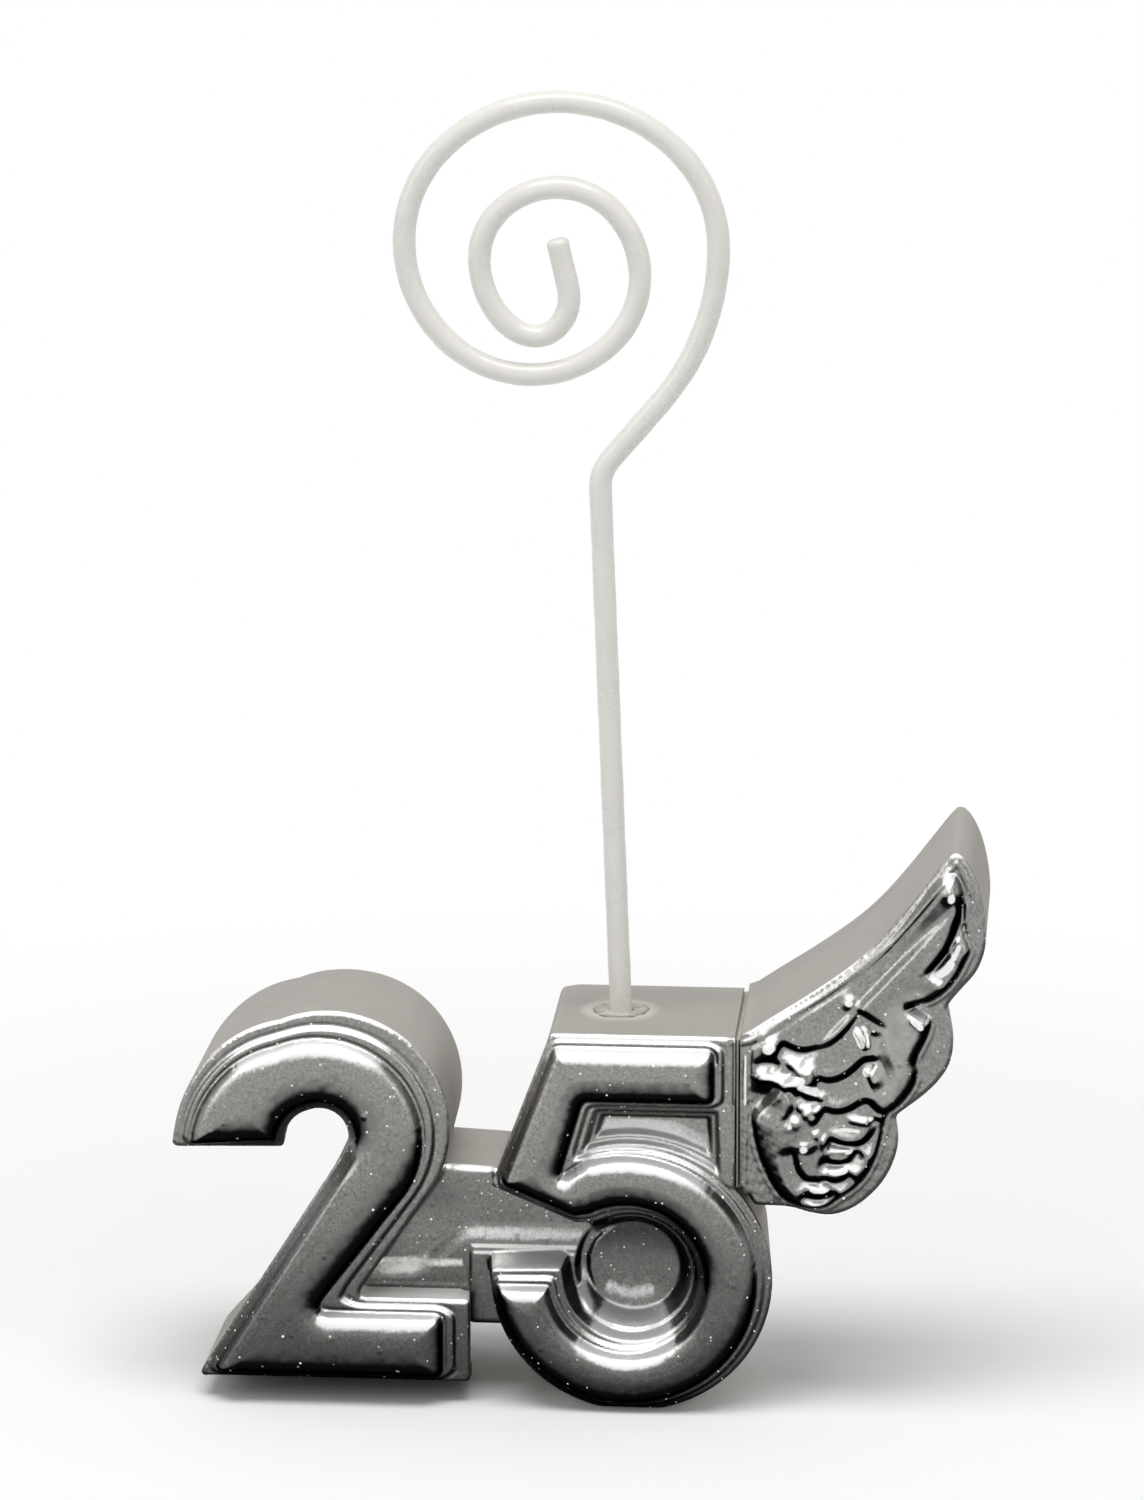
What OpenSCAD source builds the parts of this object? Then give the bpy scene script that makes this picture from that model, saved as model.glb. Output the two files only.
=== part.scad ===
// Place card holder: a cast figure 25 with a feathered wing, and a wire clip that holds the card.
// Millimetres. Z is up, the face looks along -Y. The origin is on the table under the clip's foot,
// at half the depth of the castings.

/* [Castings] */
// Depth of the cast blocks, front lip to flat back
block_depth = 13; // [9:0.5:18]
// Height of the low terrace that the pillow face stands on
terrace_h = 0.4; // [0.2:0.05:0.7]
// Height of the pillow face above its terrace
pillow_h = 1.4; // [0.8:0.1:2]
// Width of the terrace round the pillow face
terrace_w = 0.45; // [0.3:0.05:0.7]
// Depth of the web's face behind the lip
web_setback = 3.5; // [2:0.25:5]
// Radius of the blocks' outer corners
corner_r = 0.7; // [0.4:0.05:0.75]

/* [Figure 2] */
// Outer radius of the hook's face
two_hook_r = 7.5; // [7:0.1:8]
// Width of the hook's stroke
two_stroke = 4.8; // [4:0.1:5.2]
// How much wider the hook's outer radius gets at its tip
two_tip_flare = 1.9; // [1:0.1:2.5]
// Height of the hook's centre above the table
two_hook_z = 20.3; // [19.5:0.1:21.5]
// Height of the foot's face
two_foot_h = 4.8; // [4.5:0.1:5.2]
// Height of the foot's face above the table
two_foot_low = 2.15; // [1.8:0.05:2.3]
// Length of the foot's lower edge
two_foot_l = 17.05; // [16.5:0.05:17.5]
// Width of the lip over the hook and the foot
two_lip_w = 1.3; // [1.15:0.05:1.5]
// Width of the lip inside the hook, left of the diagonal and under the foot
two_inner_lip_w = 0.6; // [0.5:0.05:0.9]
// How far the outer lip is set to the right and up from the face
two_lip_shift = 0.7; // [0.3:0.05:0.7]
// How much narrower the lip is above the foot
two_lip_drop = 1; // [0.6:0.05:1.1]
// How far the sole under the foot is set back from the lip
sole_setback = 6; // [4:0.5:7]

/* [Figure 5] */
// Outer radius of the bowl's face
five_bowl_r = 9.45; // [9:0.05:10]
// Width of the bowl's stroke
five_stroke = 3.7; // [3.2:0.1:4]
// Height of the top bar's face
five_bar_h = 4; // [3.4:0.1:4.4]
// Height of the top bar's upper edge above the top of the bowl
five_head_h = 8.15; // [7.5:0.05:9]
// Width of the lip round the face
five_lip_w = 0.85; // [0.6:0.05:1]
// How deep the bowl's round is cut flat where it stands
five_flat_cut = 0.3; // [0.2:0.05:0.6]
// Depth of the notch under the bar
notch_depth = 1.3; // [0.8:0.1:2]
// Radius of the flat floor inside the bowl
dish_r = 3.5; // [3:0.1:4]

/* [Wing] */
// Height of the wing
wing_h = 27.8; // [26:0.1:29]
// Thickness of the glue between the wing and the figure 5
glue_line = 0.4; // [0.3:0.05:0.6]

/* [Wire clip] */
// Diameter of the enamelled wire
wire_d = 1.65; // [1.2:0.05:1.8]
// Depth of the bore that the wire stands in
bore_depth = 9; // [6:0.5:12]
// Clearance all round the wire in its bore
bore_clearance = 0.1; // [0.05:0.05:0.2]
// Lean of the stem to the left, in degrees
stem_lean = 2.25; // [0:0.25:4]
// Length of the stem above the bore's mouth
stem_l = 39.4; // [30:0.1:60]
// Radius of the kink at the top of the stem
kink_r = 2.6; // [2:0.1:4]
// Length of the straight after the kink
slant_l = 5.8; // [3:0.1:8]
// Radius of the sweep that leads into the spiral
sweep_r = 17.5; // [14:0.5:20]
// Largest radius of the spiral's outer turn
spiral_r = 11.85; // [10:0.05:14]
// Length of the straight inner end
inner_end_l = 3.3; // [2:0.1:4]
// Radius of the glue plug at the mouth of the bore
plug_r = 2.05; // [1.6:0.05:2.4]

/* [Hidden] */
$fn = 48;
// How far a cut runs past the solid that it cuts, or a relief is rooted in its block
over = 0.3;
half_depth = block_depth / 2;
wire_r = wire_d / 2;
bore_r = wire_r + bore_clearance;

// Distance of the hook's centre from the 5's stem, and of the foot's left end from the hook's centre
two_spacing = 13.25;
two_heel_run = 8.1;
two_elbow_run = 7.45;
two_tip_angle = 184;
two_flare_angle = 115;
two_diagonal_angle = -31.6;
two_arc_steps = 22;

// Figure 5: the bar's ends, the stem's foot and the valley under it, from the bowl's centre in shares of its radius
five_bowl_x = 0.9;
five_block_r = five_bowl_r + five_lip_w;
five_bowl_z = five_block_r - five_flat_cut;
bar_right_share = 0.667;
bar_left_share = 0.561;
stem_foot_shares = [-0.974, 0.762];
valley_shares = [-0.413, 0.5185];
terminal_share = 0.069;
five_bar_right = five_bowl_x + bar_right_share * five_bowl_r;
five_bar_left = five_bowl_x - bar_left_share * five_bowl_r;
five_foot_x = five_bowl_x + stem_foot_shares[0] * five_bowl_r;
five_foot_z = five_bowl_z + stem_foot_shares[1] * five_bowl_r;
five_valley_x = five_bowl_x + valley_shares[0] * five_bowl_r;
five_valley_z = five_bowl_z + valley_shares[1] * five_bowl_r;
five_stem_w = 4.2;
five_lip_shift = 0.3;
// Height of the bowl's level terminal, and how much wider the lip is past both ends of the stroke
five_terminal_z = five_bowl_z - terminal_share * five_bowl_r;
five_end_share = 1.4;
five_arc_start = 108;
five_arc_steps = 26;
// Angle past the bowl's start at which its inner round leaves the valley
five_valley_turn = 14;
// Floor of the channel and the dish, level with the web's face
web_face = web_setback - half_depth;
five_bar_z = five_bowl_z + five_bowl_r + five_head_h;
five_block_top = five_bar_z + five_lip_w;
two_hook_x = five_foot_x - two_spacing;
two_foot_left = two_hook_x - two_heel_run;
seam_x = five_bar_right + five_lip_w * five_end_share + five_lip_shift;

// Rings of the pillow's round, as shares of the half stroke drawn in and of the pillow's height
pillow_in_shares = [0, 0.04, 0.13, 0.27, 0.45, 0.7];
pillow_up_shares = [0, 0.4, 0.68, 0.87, 0.96, 1];

// Outlines as polylines of [x, z]: every stroke has a left and a right side of equally many points

function along(a, b) = (b - a) / norm(b - a);
function left_of(d) = [-d[1], d[0]];
function polar(c, r, a) = [c[0] + r * cos(a), c[1] + r * sin(a)];
function last(list) = len(list) - 1;
function mean(a, b) = (a + b) / 2;

// Moves point i of a side outwards by g, square to both its edges; turn is 1 on the left, -1 on the right.
// The ends of the stroke move on by the end share of g
function moved(side, i, g, turn, end_share) =
    let (
        before = i > 0 ? along(side[i - 1], side[i]) : along(side[0], side[1]),
        after = i < last(side) ? along(side[i], side[i + 1]) : before,
        n = left_of(before) * turn,
        m = left_of(after) * turn,
        past_end = i == 0 ? -before : i == last(side) ? after : [0, 0]
    )
    side[i] + (n + m) * g / (1 + n * m) + past_end * g * end_share;

function grown(side, g, turn, end_share) = [for (i = [0 : last(side)]) moved(side, i, g, turn, end_share)];

// Draws a side in towards the middle of its stroke by a share of the half width
function drawn_in(side, other, share) =
    [for (i = [0 : last(side)])
        let (
            middle = mean(side[i], other[i]),
            half = norm(side[i] - other[i]) / 2,
            step = i == 0 ? along(mean(side[0], other[0]), mean(side[1], other[1]))
                 : i == last(side) ? -along(mean(side[i - 1], other[i - 1]), middle) : [0, 0]
        )
        side[i] + (middle - side[i]) * share + step * half * share];

function shifted(points, by) = [for (p = points) p + by];
function reversed(list) = [for (i = [last(list) : -1 : 0]) list[i]];
function outline(left, right, g, end_share = 1) =
    concat(grown(left, g, 1, end_share), reversed(grown(right, g, -1, end_share)));

// Rounds the outer corners of an outline, where it turns right by an angle in the corner's range; points stay sharp
corner_angles = [30, 100];
corner_steps = 4;
function softened(points) =
    [for (i = [0 : last(points)])
        let (
            p = points[i],
            from = points[(i + last(points)) % len(points)] - p,
            to = points[(i + 1) % len(points)] - p,
            turn = 180 - acos(from * to / norm(from) / norm(to)),
            t = min(corner_r * tan(turn / 2), norm(from) / 3, norm(to) / 3),
            a = p + from / norm(from) * t,
            b = p + to / norm(to) * t
        )
        each turn > corner_angles[0] && turn < corner_angles[1] && cross(-from, to) < 0
            ? [for (k = [0 : corner_steps]) let (u = k / corner_steps) mean(mean(a, b), p)
                + (a - p) * (pow(1 - u, 2) - 1 / 4) + (b - p) * (u * u - 1 / 4)]
            : [p]];

// Figure 2

function two_arc(r, flare) =
    [for (i = [0 : two_arc_steps])
        let (
            a = two_tip_angle + (two_diagonal_angle - two_tip_angle) * i / two_arc_steps,
            open = max(0, (a - two_flare_angle) / (two_tip_angle - two_flare_angle))
        )
        polar([two_hook_x, two_hook_z], r + flare * open, a)];

two_foot_top = two_foot_low + two_foot_h;
two_foot_right = two_foot_left + two_foot_l;
function two_side(flare, drop = 0) = concat(two_arc(two_hook_r, flare),
    [[two_foot_left + two_elbow_run, two_foot_top - drop], [two_foot_right, two_foot_top - drop]]);
two_left = two_side(two_tip_flare);
two_right = concat(two_arc(two_hook_r - two_stroke, two_tip_flare / 4),
    [[two_foot_left, two_foot_low], [two_foot_right, two_foot_low]]);
two_lip_by = [two_lip_shift, two_lip_shift];
two_count = len(two_left);
two_sole_right = two_foot_right + two_lip_w + two_lip_shift;
two_inner = grown(two_right, two_inner_lip_w, -1, 1);
two_block = concat(
    shifted(grown(two_side(two_tip_flare + two_lip_shift, two_lip_drop), two_lip_w, 1, 1), two_lip_by),
    [[two_sole_right, two_foot_low - two_inner_lip_w]],
    [for (i = [two_count - 2 : -1 : 0]) two_inner[i]]);

// The foot's block goes down to the table below the lip, in line with the diagonal
two_heel = two_block[two_count + 1];
two_heel_lean = (two_right[two_count - 3][0] - two_right[two_count - 2][0])
    / (two_right[two_count - 3][1] - two_right[two_count - 2][1]);
two_sole = [two_heel, [two_heel[0] - two_heel[1] * two_heel_lean, 0], [two_sole_right, 0],
    [two_sole_right, two_foot_low + over], [two_foot_left + two_elbow_run, two_foot_low + over]];

// Figure 5

five_bowl = [five_bowl_x, five_bowl_z];
function five_arc(r, start, steps) =
    let (end = asin((five_bowl_z - five_terminal_z) / r) - 180)
    [for (i = [0 : steps]) polar(five_bowl, r, start + (end - start) * i / steps)];
five_bar_low = five_bar_z - five_bar_h;
// How far along the stem's lean the notch starts
notch_share = 0.45;
five_notch_x = five_foot_x + five_stem_w + (five_bar_left - five_foot_x) * notch_share;
five_left = concat(
    [[five_bar_right, five_bar_low], [five_notch_x, five_bar_low], [five_foot_x + five_stem_w, five_foot_z + over]],
    five_arc(five_bowl_r, five_arc_start, five_arc_steps));
five_right = concat(
    [[five_bar_right, five_bar_z], [five_bar_left, five_bar_z], [five_foot_x, five_foot_z], [five_valley_x, five_valley_z]],
    five_arc(five_bowl_r - five_stroke, five_arc_start + five_valley_turn, five_arc_steps - 1));
five_lip_by = [five_lip_shift, 0];
five_block = shifted(outline(five_left, five_right, five_lip_w, five_end_share), five_lip_by);
five_inside = [for (i = [0 : last(five_left)]) mean(five_left[i], five_right[i])];
five_top_station = 9;

// Where the straight seam meets the round of the bowl's block
seam_run = seam_x - five_bowl_x - five_lip_shift;
seam_z = five_bowl_z + sqrt(five_block_r * five_block_r - seam_run * seam_run);

// Fills the notch, up to the seam
five_notch_fill = [five_inside[1], [five_bar_right, five_block_top], [seam_x, five_block_top], [seam_x, seam_z],
    five_inside[five_top_station], five_inside[3], five_inside[2]];
// Rim that closes the notch beside the wing
five_rim = [[five_bar_right, five_bar_z], [five_bar_right, five_block_top], [seam_x, five_block_top],
    [seam_x, seam_z], polar(five_bowl, five_bowl_r, 45), [five_bar_right + over, seam_z + five_stroke]];
// Fills the channel from the web into the bowl; the bowl's round closes it on the other sides
five_count = len(five_left);
five_channel_fill = [five_inside[2], five_block[2 * five_count - 3], five_block[five_count - 1],
    five_inside[five_count - 1], five_bowl, five_inside[3]];

// Web between the figures, rooted in both outlines and cut back to them
web_rise = 0.2;
web_fall = 0.7;
web_low_share = 0.52;
web_top = five_foot_z + web_rise;
web_low = five_bowl_z * web_low_share;
web_left = mean(two_left[two_count - 3], two_right[two_count - 3]);
web_region = [[web_left[0], web_top], [five_inside[2][0], web_top - web_fall],
    [five_inside[2][0], web_low], [two_foot_left + two_elbow_run / 2, web_low]];

// Wing, in shares of its height from the foot of its seam
wing_x = seam_x + glue_line;
wing_drop = 2.07;
wing_z = seam_z - wing_drop;
wing_edge_shares = [[-0.05, 0.46], [0, 0.485], [0.068, 0.534], [0.176, 0.604], [0.284, 0.684], [0.353, 0.748], [0.417, 0.827],
    [0.48, 0.915], [0.525, 0.975], [0.554, 1], [0.583, 0.975], [0.612, 0.914], [0.629, 0.835], [0.637, 0.755],
    [0.622, 0.705], [0.604, 0.669], [0.579, 0.637], [0.543, 0.597], [0.532, 0.576], [0.547, 0.547],
    [0.554, 0.493], [0.547, 0.432], [0.518, 0.381], [0.475, 0.335], [0.424, 0.299], [0.403, 0.281],
    [0.414, 0.237], [0.41, 0.187], [0.392, 0.133], [0.363, 0.086], [0.313, 0.036], [0.248, 0.004],
    [0.183, 0.011], [0.144, 0.025], [0.086, 0.029], [0.057, 0.027], [-0.05, 0.05]];
// Feathers: root x and z, tip x and z, width and height, the height as a share of the pillow face's
feather_shares = [
    [0.02, 0.45, 0.56, 0.95, 0.07, 0.75],
    [0.24, 0.56, 0.57, 0.93, 0.13, 1],
    [0.34, 0.56, 0.59, 0.73, 0.1, 0.9],
    [0.3, 0.62, 0.44, 0.33, 0.17, 0.95],
    [0.33, 0.55, 0.5, 0.51, 0.12, 0.8],
    [0.34, 0.45, 0.45, 0.35, 0.13, 0.85],
    [0.05, 0.5, 0.3, 0.59, 0.1, 1.15],
    [0.18, 0.43, 0.33, 0.51, 0.09, 1.1],
    [0.19, 0.36, 0.36, 0.4, 0.09, 1.05],
    [0.2, 0.27, 0.365, 0.275, 0.08, 1],
    [0.2, 0.205, 0.32, 0.195, 0.055, 0.95],
    [0.2, 0.15, 0.305, 0.14, 0.05, 0.9],
    [0.15, 0.11, 0.275, 0.08, 0.05, 0.85],
    [0.15, 0.06, 0.25, 0.045, 0.045, 0.75],
    [0.375, 0.28, 0.24, 0.04, 0.06, 0.7],
    [0.05, 0.41, 0.14, 0.05, 0.1, 0.8],
    [0.04, 0.44, 0.2, 0.41, 0.07, 1.2],
    [0.09, 0.36, 0.19, 0.23, 0.06, 1.1]];
feather_steps = 7;
feather_in_shares = [0, 0, 0.2, 0.55];
feather_up_shares = [-1, 0.15, 0.75, 1];

// Depth of the glue plug in the bore's mouth
plug_depth = 0.9;
// Spiral of the clip: the radius of each bend of an eighth of a turn, as a share of the largest
spiral_shares = [0.838, 1, 1, 0.815, 0.844, 0.726, 0.7, 0.582, 0.574, 0.456, 0.506, 0.422, 0.562, 0.257, 0.169, 0.27];
eighth_turn = 45;
slant_angle = 40;
inner_lean = 13;
bend_step = 9;
wire_sides = 12;
// The skin's polygon has the area of the round wire
wire_skin_r = wire_r * sqrt(2 * PI / wire_sides / sin(360 / wire_sides));

// The clip above its stem as [chord, turn] steps: the kink, a straight, the sweep, the spiral and its inner end
function straight(l) = [[l, 0]];
function bend(r, angle) =
    let (steps = ceil(abs(angle) / bend_step), turn = angle / steps)
    [for (i = [1 : steps]) [2 * r * sin(abs(turn) / 2), turn]];
clip_steps = concat(
    bend(kink_r, -(stem_lean + slant_angle)),
    straight(slant_l),
    bend(sweep_r, slant_angle),
    [for (share = spiral_shares) each bend(spiral_r * share, eighth_turn)],
    bend(spiral_r * spiral_shares[last(spiral_shares)], inner_lean),
    straight(inner_end_l));
function walk(steps, start, heading) =
    [for (i = 0, p = start, h = heading; i <= len(steps);
        p = i < len(steps) ? p + steps[i][0] * [-sin(h + steps[i][1] / 2), cos(h + steps[i][1] / 2)] : p,
        h = i < len(steps) ? h + steps[i][1] : h,
        i = i + 1) [p, h]];
function on_stem(l) = [[-l * sin(stem_lean), five_block_top + l * cos(stem_lean)], stem_lean];
stem_top = on_stem(stem_l);
clip_path = concat([on_stem(-bore_depth), on_stem(-plug_depth)], walk(clip_steps, stem_top[0], stem_top[1]));

// Solids: an outline stands in X and Z and is given its depth along Y

module plate(points, front, back = half_depth) {
    translate([0, back, 0])
        rotate([90, 0, 0])
            linear_extrude(back - front)
                polygon(points);
}

function at_depth(points, y) = [for (p = points) [p[0], y, p[1]]];

// Skins rings of equally many points with quads; a strip of quads between its two halves closes each end
module skinned(rings) {
    n = len(rings[0]);
    half = n / 2;
    top = last(rings) * n;
    sides = [for (k = [0 : last(rings) - 1]) for (i = [0 : n - 1])
        let (j = (i + 1) % n)
        [k * n + i, k * n + j, (k + 1) * n + j, (k + 1) * n + i]];
    near_end = [for (i = [0 : half - 2]) [i + 1, i, n - 1 - i, n - 2 - i]];
    far_end = [for (i = [0 : half - 2]) [top + i, top + i + 1, top + n - 2 - i, top + n - 1 - i]];
    polyhedron(points = [for (ring = rings) for (p = ring) p], faces = concat(sides, near_end, far_end), convexity = 6);
}

// Terrace and pillow face of a figure, rooted in the block's lip
module pillow_face(left, right, end_share = 1) {
    lip = -half_depth;
    terrace = outline(left, right, terrace_w, end_share);
    skinned(concat(
        [at_depth(terrace, lip + over), at_depth(terrace, lip - terrace_h)],
        [for (i = [0 : last(pillow_in_shares)])
            let (share = pillow_in_shares[i])
            at_depth(concat(drawn_in(left, right, share), reversed(drawn_in(right, left, share))),
                lip - terrace_h - pillow_h * pillow_up_shares[i])]));
}

module two_blank() {
    plate(softened(two_block), -half_depth);
    plate(two_sole, sole_setback - half_depth);
}

module five_blank() {
    plate(softened(five_block), -half_depth);
    plate(five_rim, -half_depth);
    plate(five_notch_fill, notch_depth - half_depth);
    plate(five_channel_fill, web_face);
}

// Stepped round inside the bowl, open to the channel on its left
module dish() {
    lip_r = five_bowl_r - five_stroke - five_lip_w;
    mid_r = mean(dish_r, lip_r);
    wall = web_setback;
    translate([five_bowl_x + five_lip_shift, half_depth, five_bowl_z])
        rotate([90, 0, 0])
            cylinder(r = lip_r + over, h = half_depth - web_face);
    translate([five_bowl_x + five_lip_shift, web_face + over, five_bowl_z])
        rotate([90, 0, 0])
            rotate([0, 0, -140])
                rotate_extrude(angle = 270)
                    polygon([[dish_r, 0], [dish_r, over + wall / 6], [mid_r, over + wall / 3], [mid_r, over + wall / 2],
                        [lip_r - over, over + wall * 2 / 3], [lip_r + 2 * over, over + wall * 2 / 3],
                        [lip_r + 2 * over, 0]]);
}

// Axis of the bore and the stem, from the table upwards
module along_stem(height) {
    translate([0, 0, five_block_top])
        rotate([0, -stem_lean, 0])
            translate([0, 0, height])
                children();
}

module numeral_two() {
    color("silver")
        union() {
            two_blank();
            pillow_face(two_left, two_right);
        }
}

module numeral_five() {
    color("silver")
        difference() {
            union() {
                five_blank();
                dish();
                pillow_face(five_left, five_right, five_end_share);
            }
            translate([five_bowl_x - five_block_r, -block_depth, -block_depth])
                cube([2 * five_block_r, 2 * block_depth, block_depth]);
            along_stem(-bore_depth)
                cylinder(r = bore_r, h = bore_depth + over);
            plug_shape(plug_r, over);
        }
}

module joining_web() {
    color("gainsboro")
        difference() {
            plate(web_region, web_face);
            two_blank();
            five_blank();
        }
}

// Cone of glue in the mouth of the bore
module plug_shape(r, above = 0) {
    translate([0, 0, five_block_top - plug_depth])
        cylinder(r1 = bore_r, r2 = r, h = plug_depth);
    if (above > 0)
        translate([0, 0, five_block_top])
            cylinder(r = r, h = above);
}

module socket_glue() {
    color("tan")
        difference() {
            plug_shape(plug_r);
            along_stem(-bore_depth)
                cylinder(r = wire_skin_r, h = 2 * bore_depth);
        }
}

function wing_point(share) = [wing_x, wing_z] + share * wing_h;

// Left and right side of a feather, as a lens with blunt ends between its root and its tip
function feather_side(f, share, turn) =
    let (
        root = wing_point([f[0], f[1]]),
        tip = wing_point([f[2], f[3]]),
        d = tip - root,
        n = left_of(along(root, tip)) * turn,
        w = f[4] * wing_h / 2
    )
    [for (i = [0 : feather_steps])
        let (a = 16 + 148 * i / feather_steps)
        mean(root, tip) - d / 2 * cos(a) * (1 - share / 4) + n * w * sin(a) * (1 - share)];

module feather(f, root_depth) {
    rise = pillow_h * f[5];
    skinned([for (i = [0 : last(feather_in_shares)])
        at_depth(concat(feather_side(f, feather_in_shares[i], 1), reversed(feather_side(f, feather_in_shares[i], -1))),
            -half_depth - (feather_up_shares[i] < 0 ? -root_depth : rise * feather_up_shares[i]))]);
}

// Left edge of the wing: the straight seam, then the round of the bowl, clear by the glue
module seam_cut(gap) {
    translate([0, half_depth + over, 0])
        rotate([90, 0, 0]) {
            translate([five_bowl_x + five_lip_shift, five_bowl_z, 0])
                cylinder(r = five_block_r + gap, h = block_depth + 2 * over, $fn = 96);
            translate([-five_block_r, 0, 0])
                cube([five_block_r + seam_x + gap, five_block_top + five_block_r, block_depth + 2 * over]);
        }
}

module wing() {
    color("silver")
        union() {
            difference() {
                plate([for (s = wing_edge_shares) wing_point(s)], -half_depth);
                seam_cut(glue_line);
            }
            for (i = [0 : last(feather_shares)])
                feather(feather_shares[i], over + i * glue_line / 8);
        }
}

module wing_glue_line() {
    color("khaki")
        difference() {
            translate([seam_x - over, over - half_depth, wing_z + five_stroke / 2])
                cube([glue_line + over, block_depth - 2 * over, five_block_top - wing_z - five_stroke / 2 - over]);
            five_blank();
        }
}

// Ring of the wire's skin at a point of its path; the turn is to the left of straight up
function wire_ring(p, turn, r) =
    [for (i = [0 : wire_sides - 1])
        let (a = 360 * (i + 0.5) / wire_sides)
        [p[0] + r * cos(a) * cos(turn), -r * sin(a), p[1] + r * cos(a) * sin(turn)]];

module wire_clip() {
    end = clip_path[last(clip_path)];
    end_way = [-sin(end[1]), cos(end[1])];
    color("white")
        skinned(concat(
            [for (step = clip_path) wire_ring(step[0], step[1], wire_skin_r)],
            [wire_ring(end[0] + end_way * wire_r * 0.2, end[1], wire_skin_r * 0.85)]));
}

numeral_two();
numeral_five();
joining_web();
wing();
wing_glue_line();
wire_clip();
socket_glue();
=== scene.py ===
import math

import bmesh
import bpy
import numpy as np
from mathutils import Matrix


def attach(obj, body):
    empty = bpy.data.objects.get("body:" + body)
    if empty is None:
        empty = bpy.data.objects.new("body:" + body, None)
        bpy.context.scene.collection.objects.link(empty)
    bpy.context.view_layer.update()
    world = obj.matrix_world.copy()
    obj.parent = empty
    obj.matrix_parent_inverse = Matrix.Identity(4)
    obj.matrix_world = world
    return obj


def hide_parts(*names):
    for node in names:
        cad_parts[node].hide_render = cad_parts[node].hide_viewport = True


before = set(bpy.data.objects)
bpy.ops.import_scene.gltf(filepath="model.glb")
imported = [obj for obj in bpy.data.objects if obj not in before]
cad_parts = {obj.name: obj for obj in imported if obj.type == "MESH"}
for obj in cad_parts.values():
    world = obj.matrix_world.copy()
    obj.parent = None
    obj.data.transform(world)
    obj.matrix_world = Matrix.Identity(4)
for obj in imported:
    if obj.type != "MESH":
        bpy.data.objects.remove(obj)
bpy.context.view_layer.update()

bl_info = {
    "name": "Place card holder",
    "version": (1, 0, 0),
    "blender": (4, 5, 0),
    "location": "View3D > Sidebar > Card holder",
    "description": "Cast silver figures with a feathered wing and a wire clip that holds a place card",
    "category": "Object",
}

MM = 0.001
BODY = "root"


# Sizes and colours that a user would change

def size(name, description, default):
    """A length in metres, from its value in millimetres."""
    return bpy.props.FloatProperty(name=name, description=description, default=default * MM, unit="LENGTH",
                                   precision=5)


def tint(name, description, default):
    """A colour as linear red, green and blue."""
    return bpy.props.FloatVectorProperty(name=name, description=description, default=default, subtype="COLOR",
                                         size=3, min=0, max=1)


def share(name, description, default):
    """A share from 0 to 1."""
    return bpy.props.FloatProperty(name=name, description=description, default=default, subtype="FACTOR",
                                   min=0, max=1)


class CastingSizes(bpy.types.PropertyGroup):
    """Sizes of the cast pieces"""
    terrace: size("Terrace height", "Height of the low terrace that the pillow face stands on", 0.4)
    terrace_share: share("Terrace width", "Width of the terrace round the face, as a share of the lip", 0.42)
    pillow: size("Pillow height", "Height of the pillow face above its terrace", 1.3)
    flank: size("Pillow flank", "Width of the pillow's rounded flank", 1.1)
    crown_share: share("Crown", "How much of the pillow's height comes from its wide low crown", 0.44)
    lip_round: size("Lip rounding", "Radius of the front edge of a block", 0.32)
    back_round: size("Back rounding", "Radius of the back edge of a block", 1.1)
    draft: size("Draft", "How much smaller a block is at its back, on each side", 0.42)
    recess: size("Recess", "Depth of the web, the channel and the dish behind the lip", 3.5)
    notch: size("Notch", "Depth of the notch under the bar of the 5", 1.3)
    cell: size("Cell", "Spacing of the grid that a casting's face is worked out on", 0.115)


class WireSizes(bpy.types.PropertyGroup):
    """Sizes of the wire clip"""
    thick: size("Diameter", "Diameter of the enamelled wire", 1.65)
    stem: size("Stem", "Length of the stem above the bore's mouth", 39.4)
    spiral: size("Spiral radius", "Largest radius of the spiral's outer turn", 11.85)
    runs: share("Enamel runs", "How uneven the enamel is, as a share of the radius", 0.012)


class Paints(bpy.types.PropertyGroup):
    """Colours of the paints, the glue and the filler, and the colours of the painted highlight and shade"""
    silver: tint("Silver", "Colour of the silver paint", (0.285, 0.28, 0.27))
    # Painted highlight: near-white colour painted where the silver relief leans up
    painted_highlight: tint("Thick silver", "Colour of the silver paint where it lies thick", (0.93, 0.925, 0.91))
    flake: tint("Flake", "Colour of the bright flakes in the silver paint", (0.93, 0.92, 0.9))
    # Painted shade: near-black colour painted where the silver relief leans down
    painted_shade: tint("Sheltered", "Colour of the flanks that the spray hardly reached", (0.005, 0.0045, 0.004))
    side: tint("Block sides", "Colour of the duller paint on the sides of the blocks", (0.46, 0.44, 0.41))
    enamel: tint("Enamel", "Colour of the white enamel on the wire", (0.69, 0.675, 0.635))
    glue: tint("Glue", "Colour of the cured glue", (0.55, 0.52, 0.43))
    filler: tint("Filler", "Colour of the filler round the foot of the wire", (0.45, 0.415, 0.385))
    stain: tint("Stain", "Colour of the pits and of the open edge of the filler", (0.07, 0.045, 0.035))


class StageLook(bpy.types.PropertyGroup):
    """Colour of the floor and place of the camera"""
    floor: tint("Floor", "Colour of the floor", (0.9, 0.9, 0.895))
    distance: size("Camera distance", "Distance from the camera to the middle of the view", 600)
    azimuth: bpy.props.FloatProperty(name="Azimuth", description="Turn of the camera to the right",
                                     default=math.radians(4.2), subtype="ANGLE")
    elevation: bpy.props.FloatProperty(name="Elevation", description="Rise of the camera above level",
                                       default=math.radians(15.5), subtype="ANGLE")


def mm(value):
    """Millimetres from metres."""
    return value / MM


# Outlines in the upright plane, in millimetres: x to the right, z up

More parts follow.
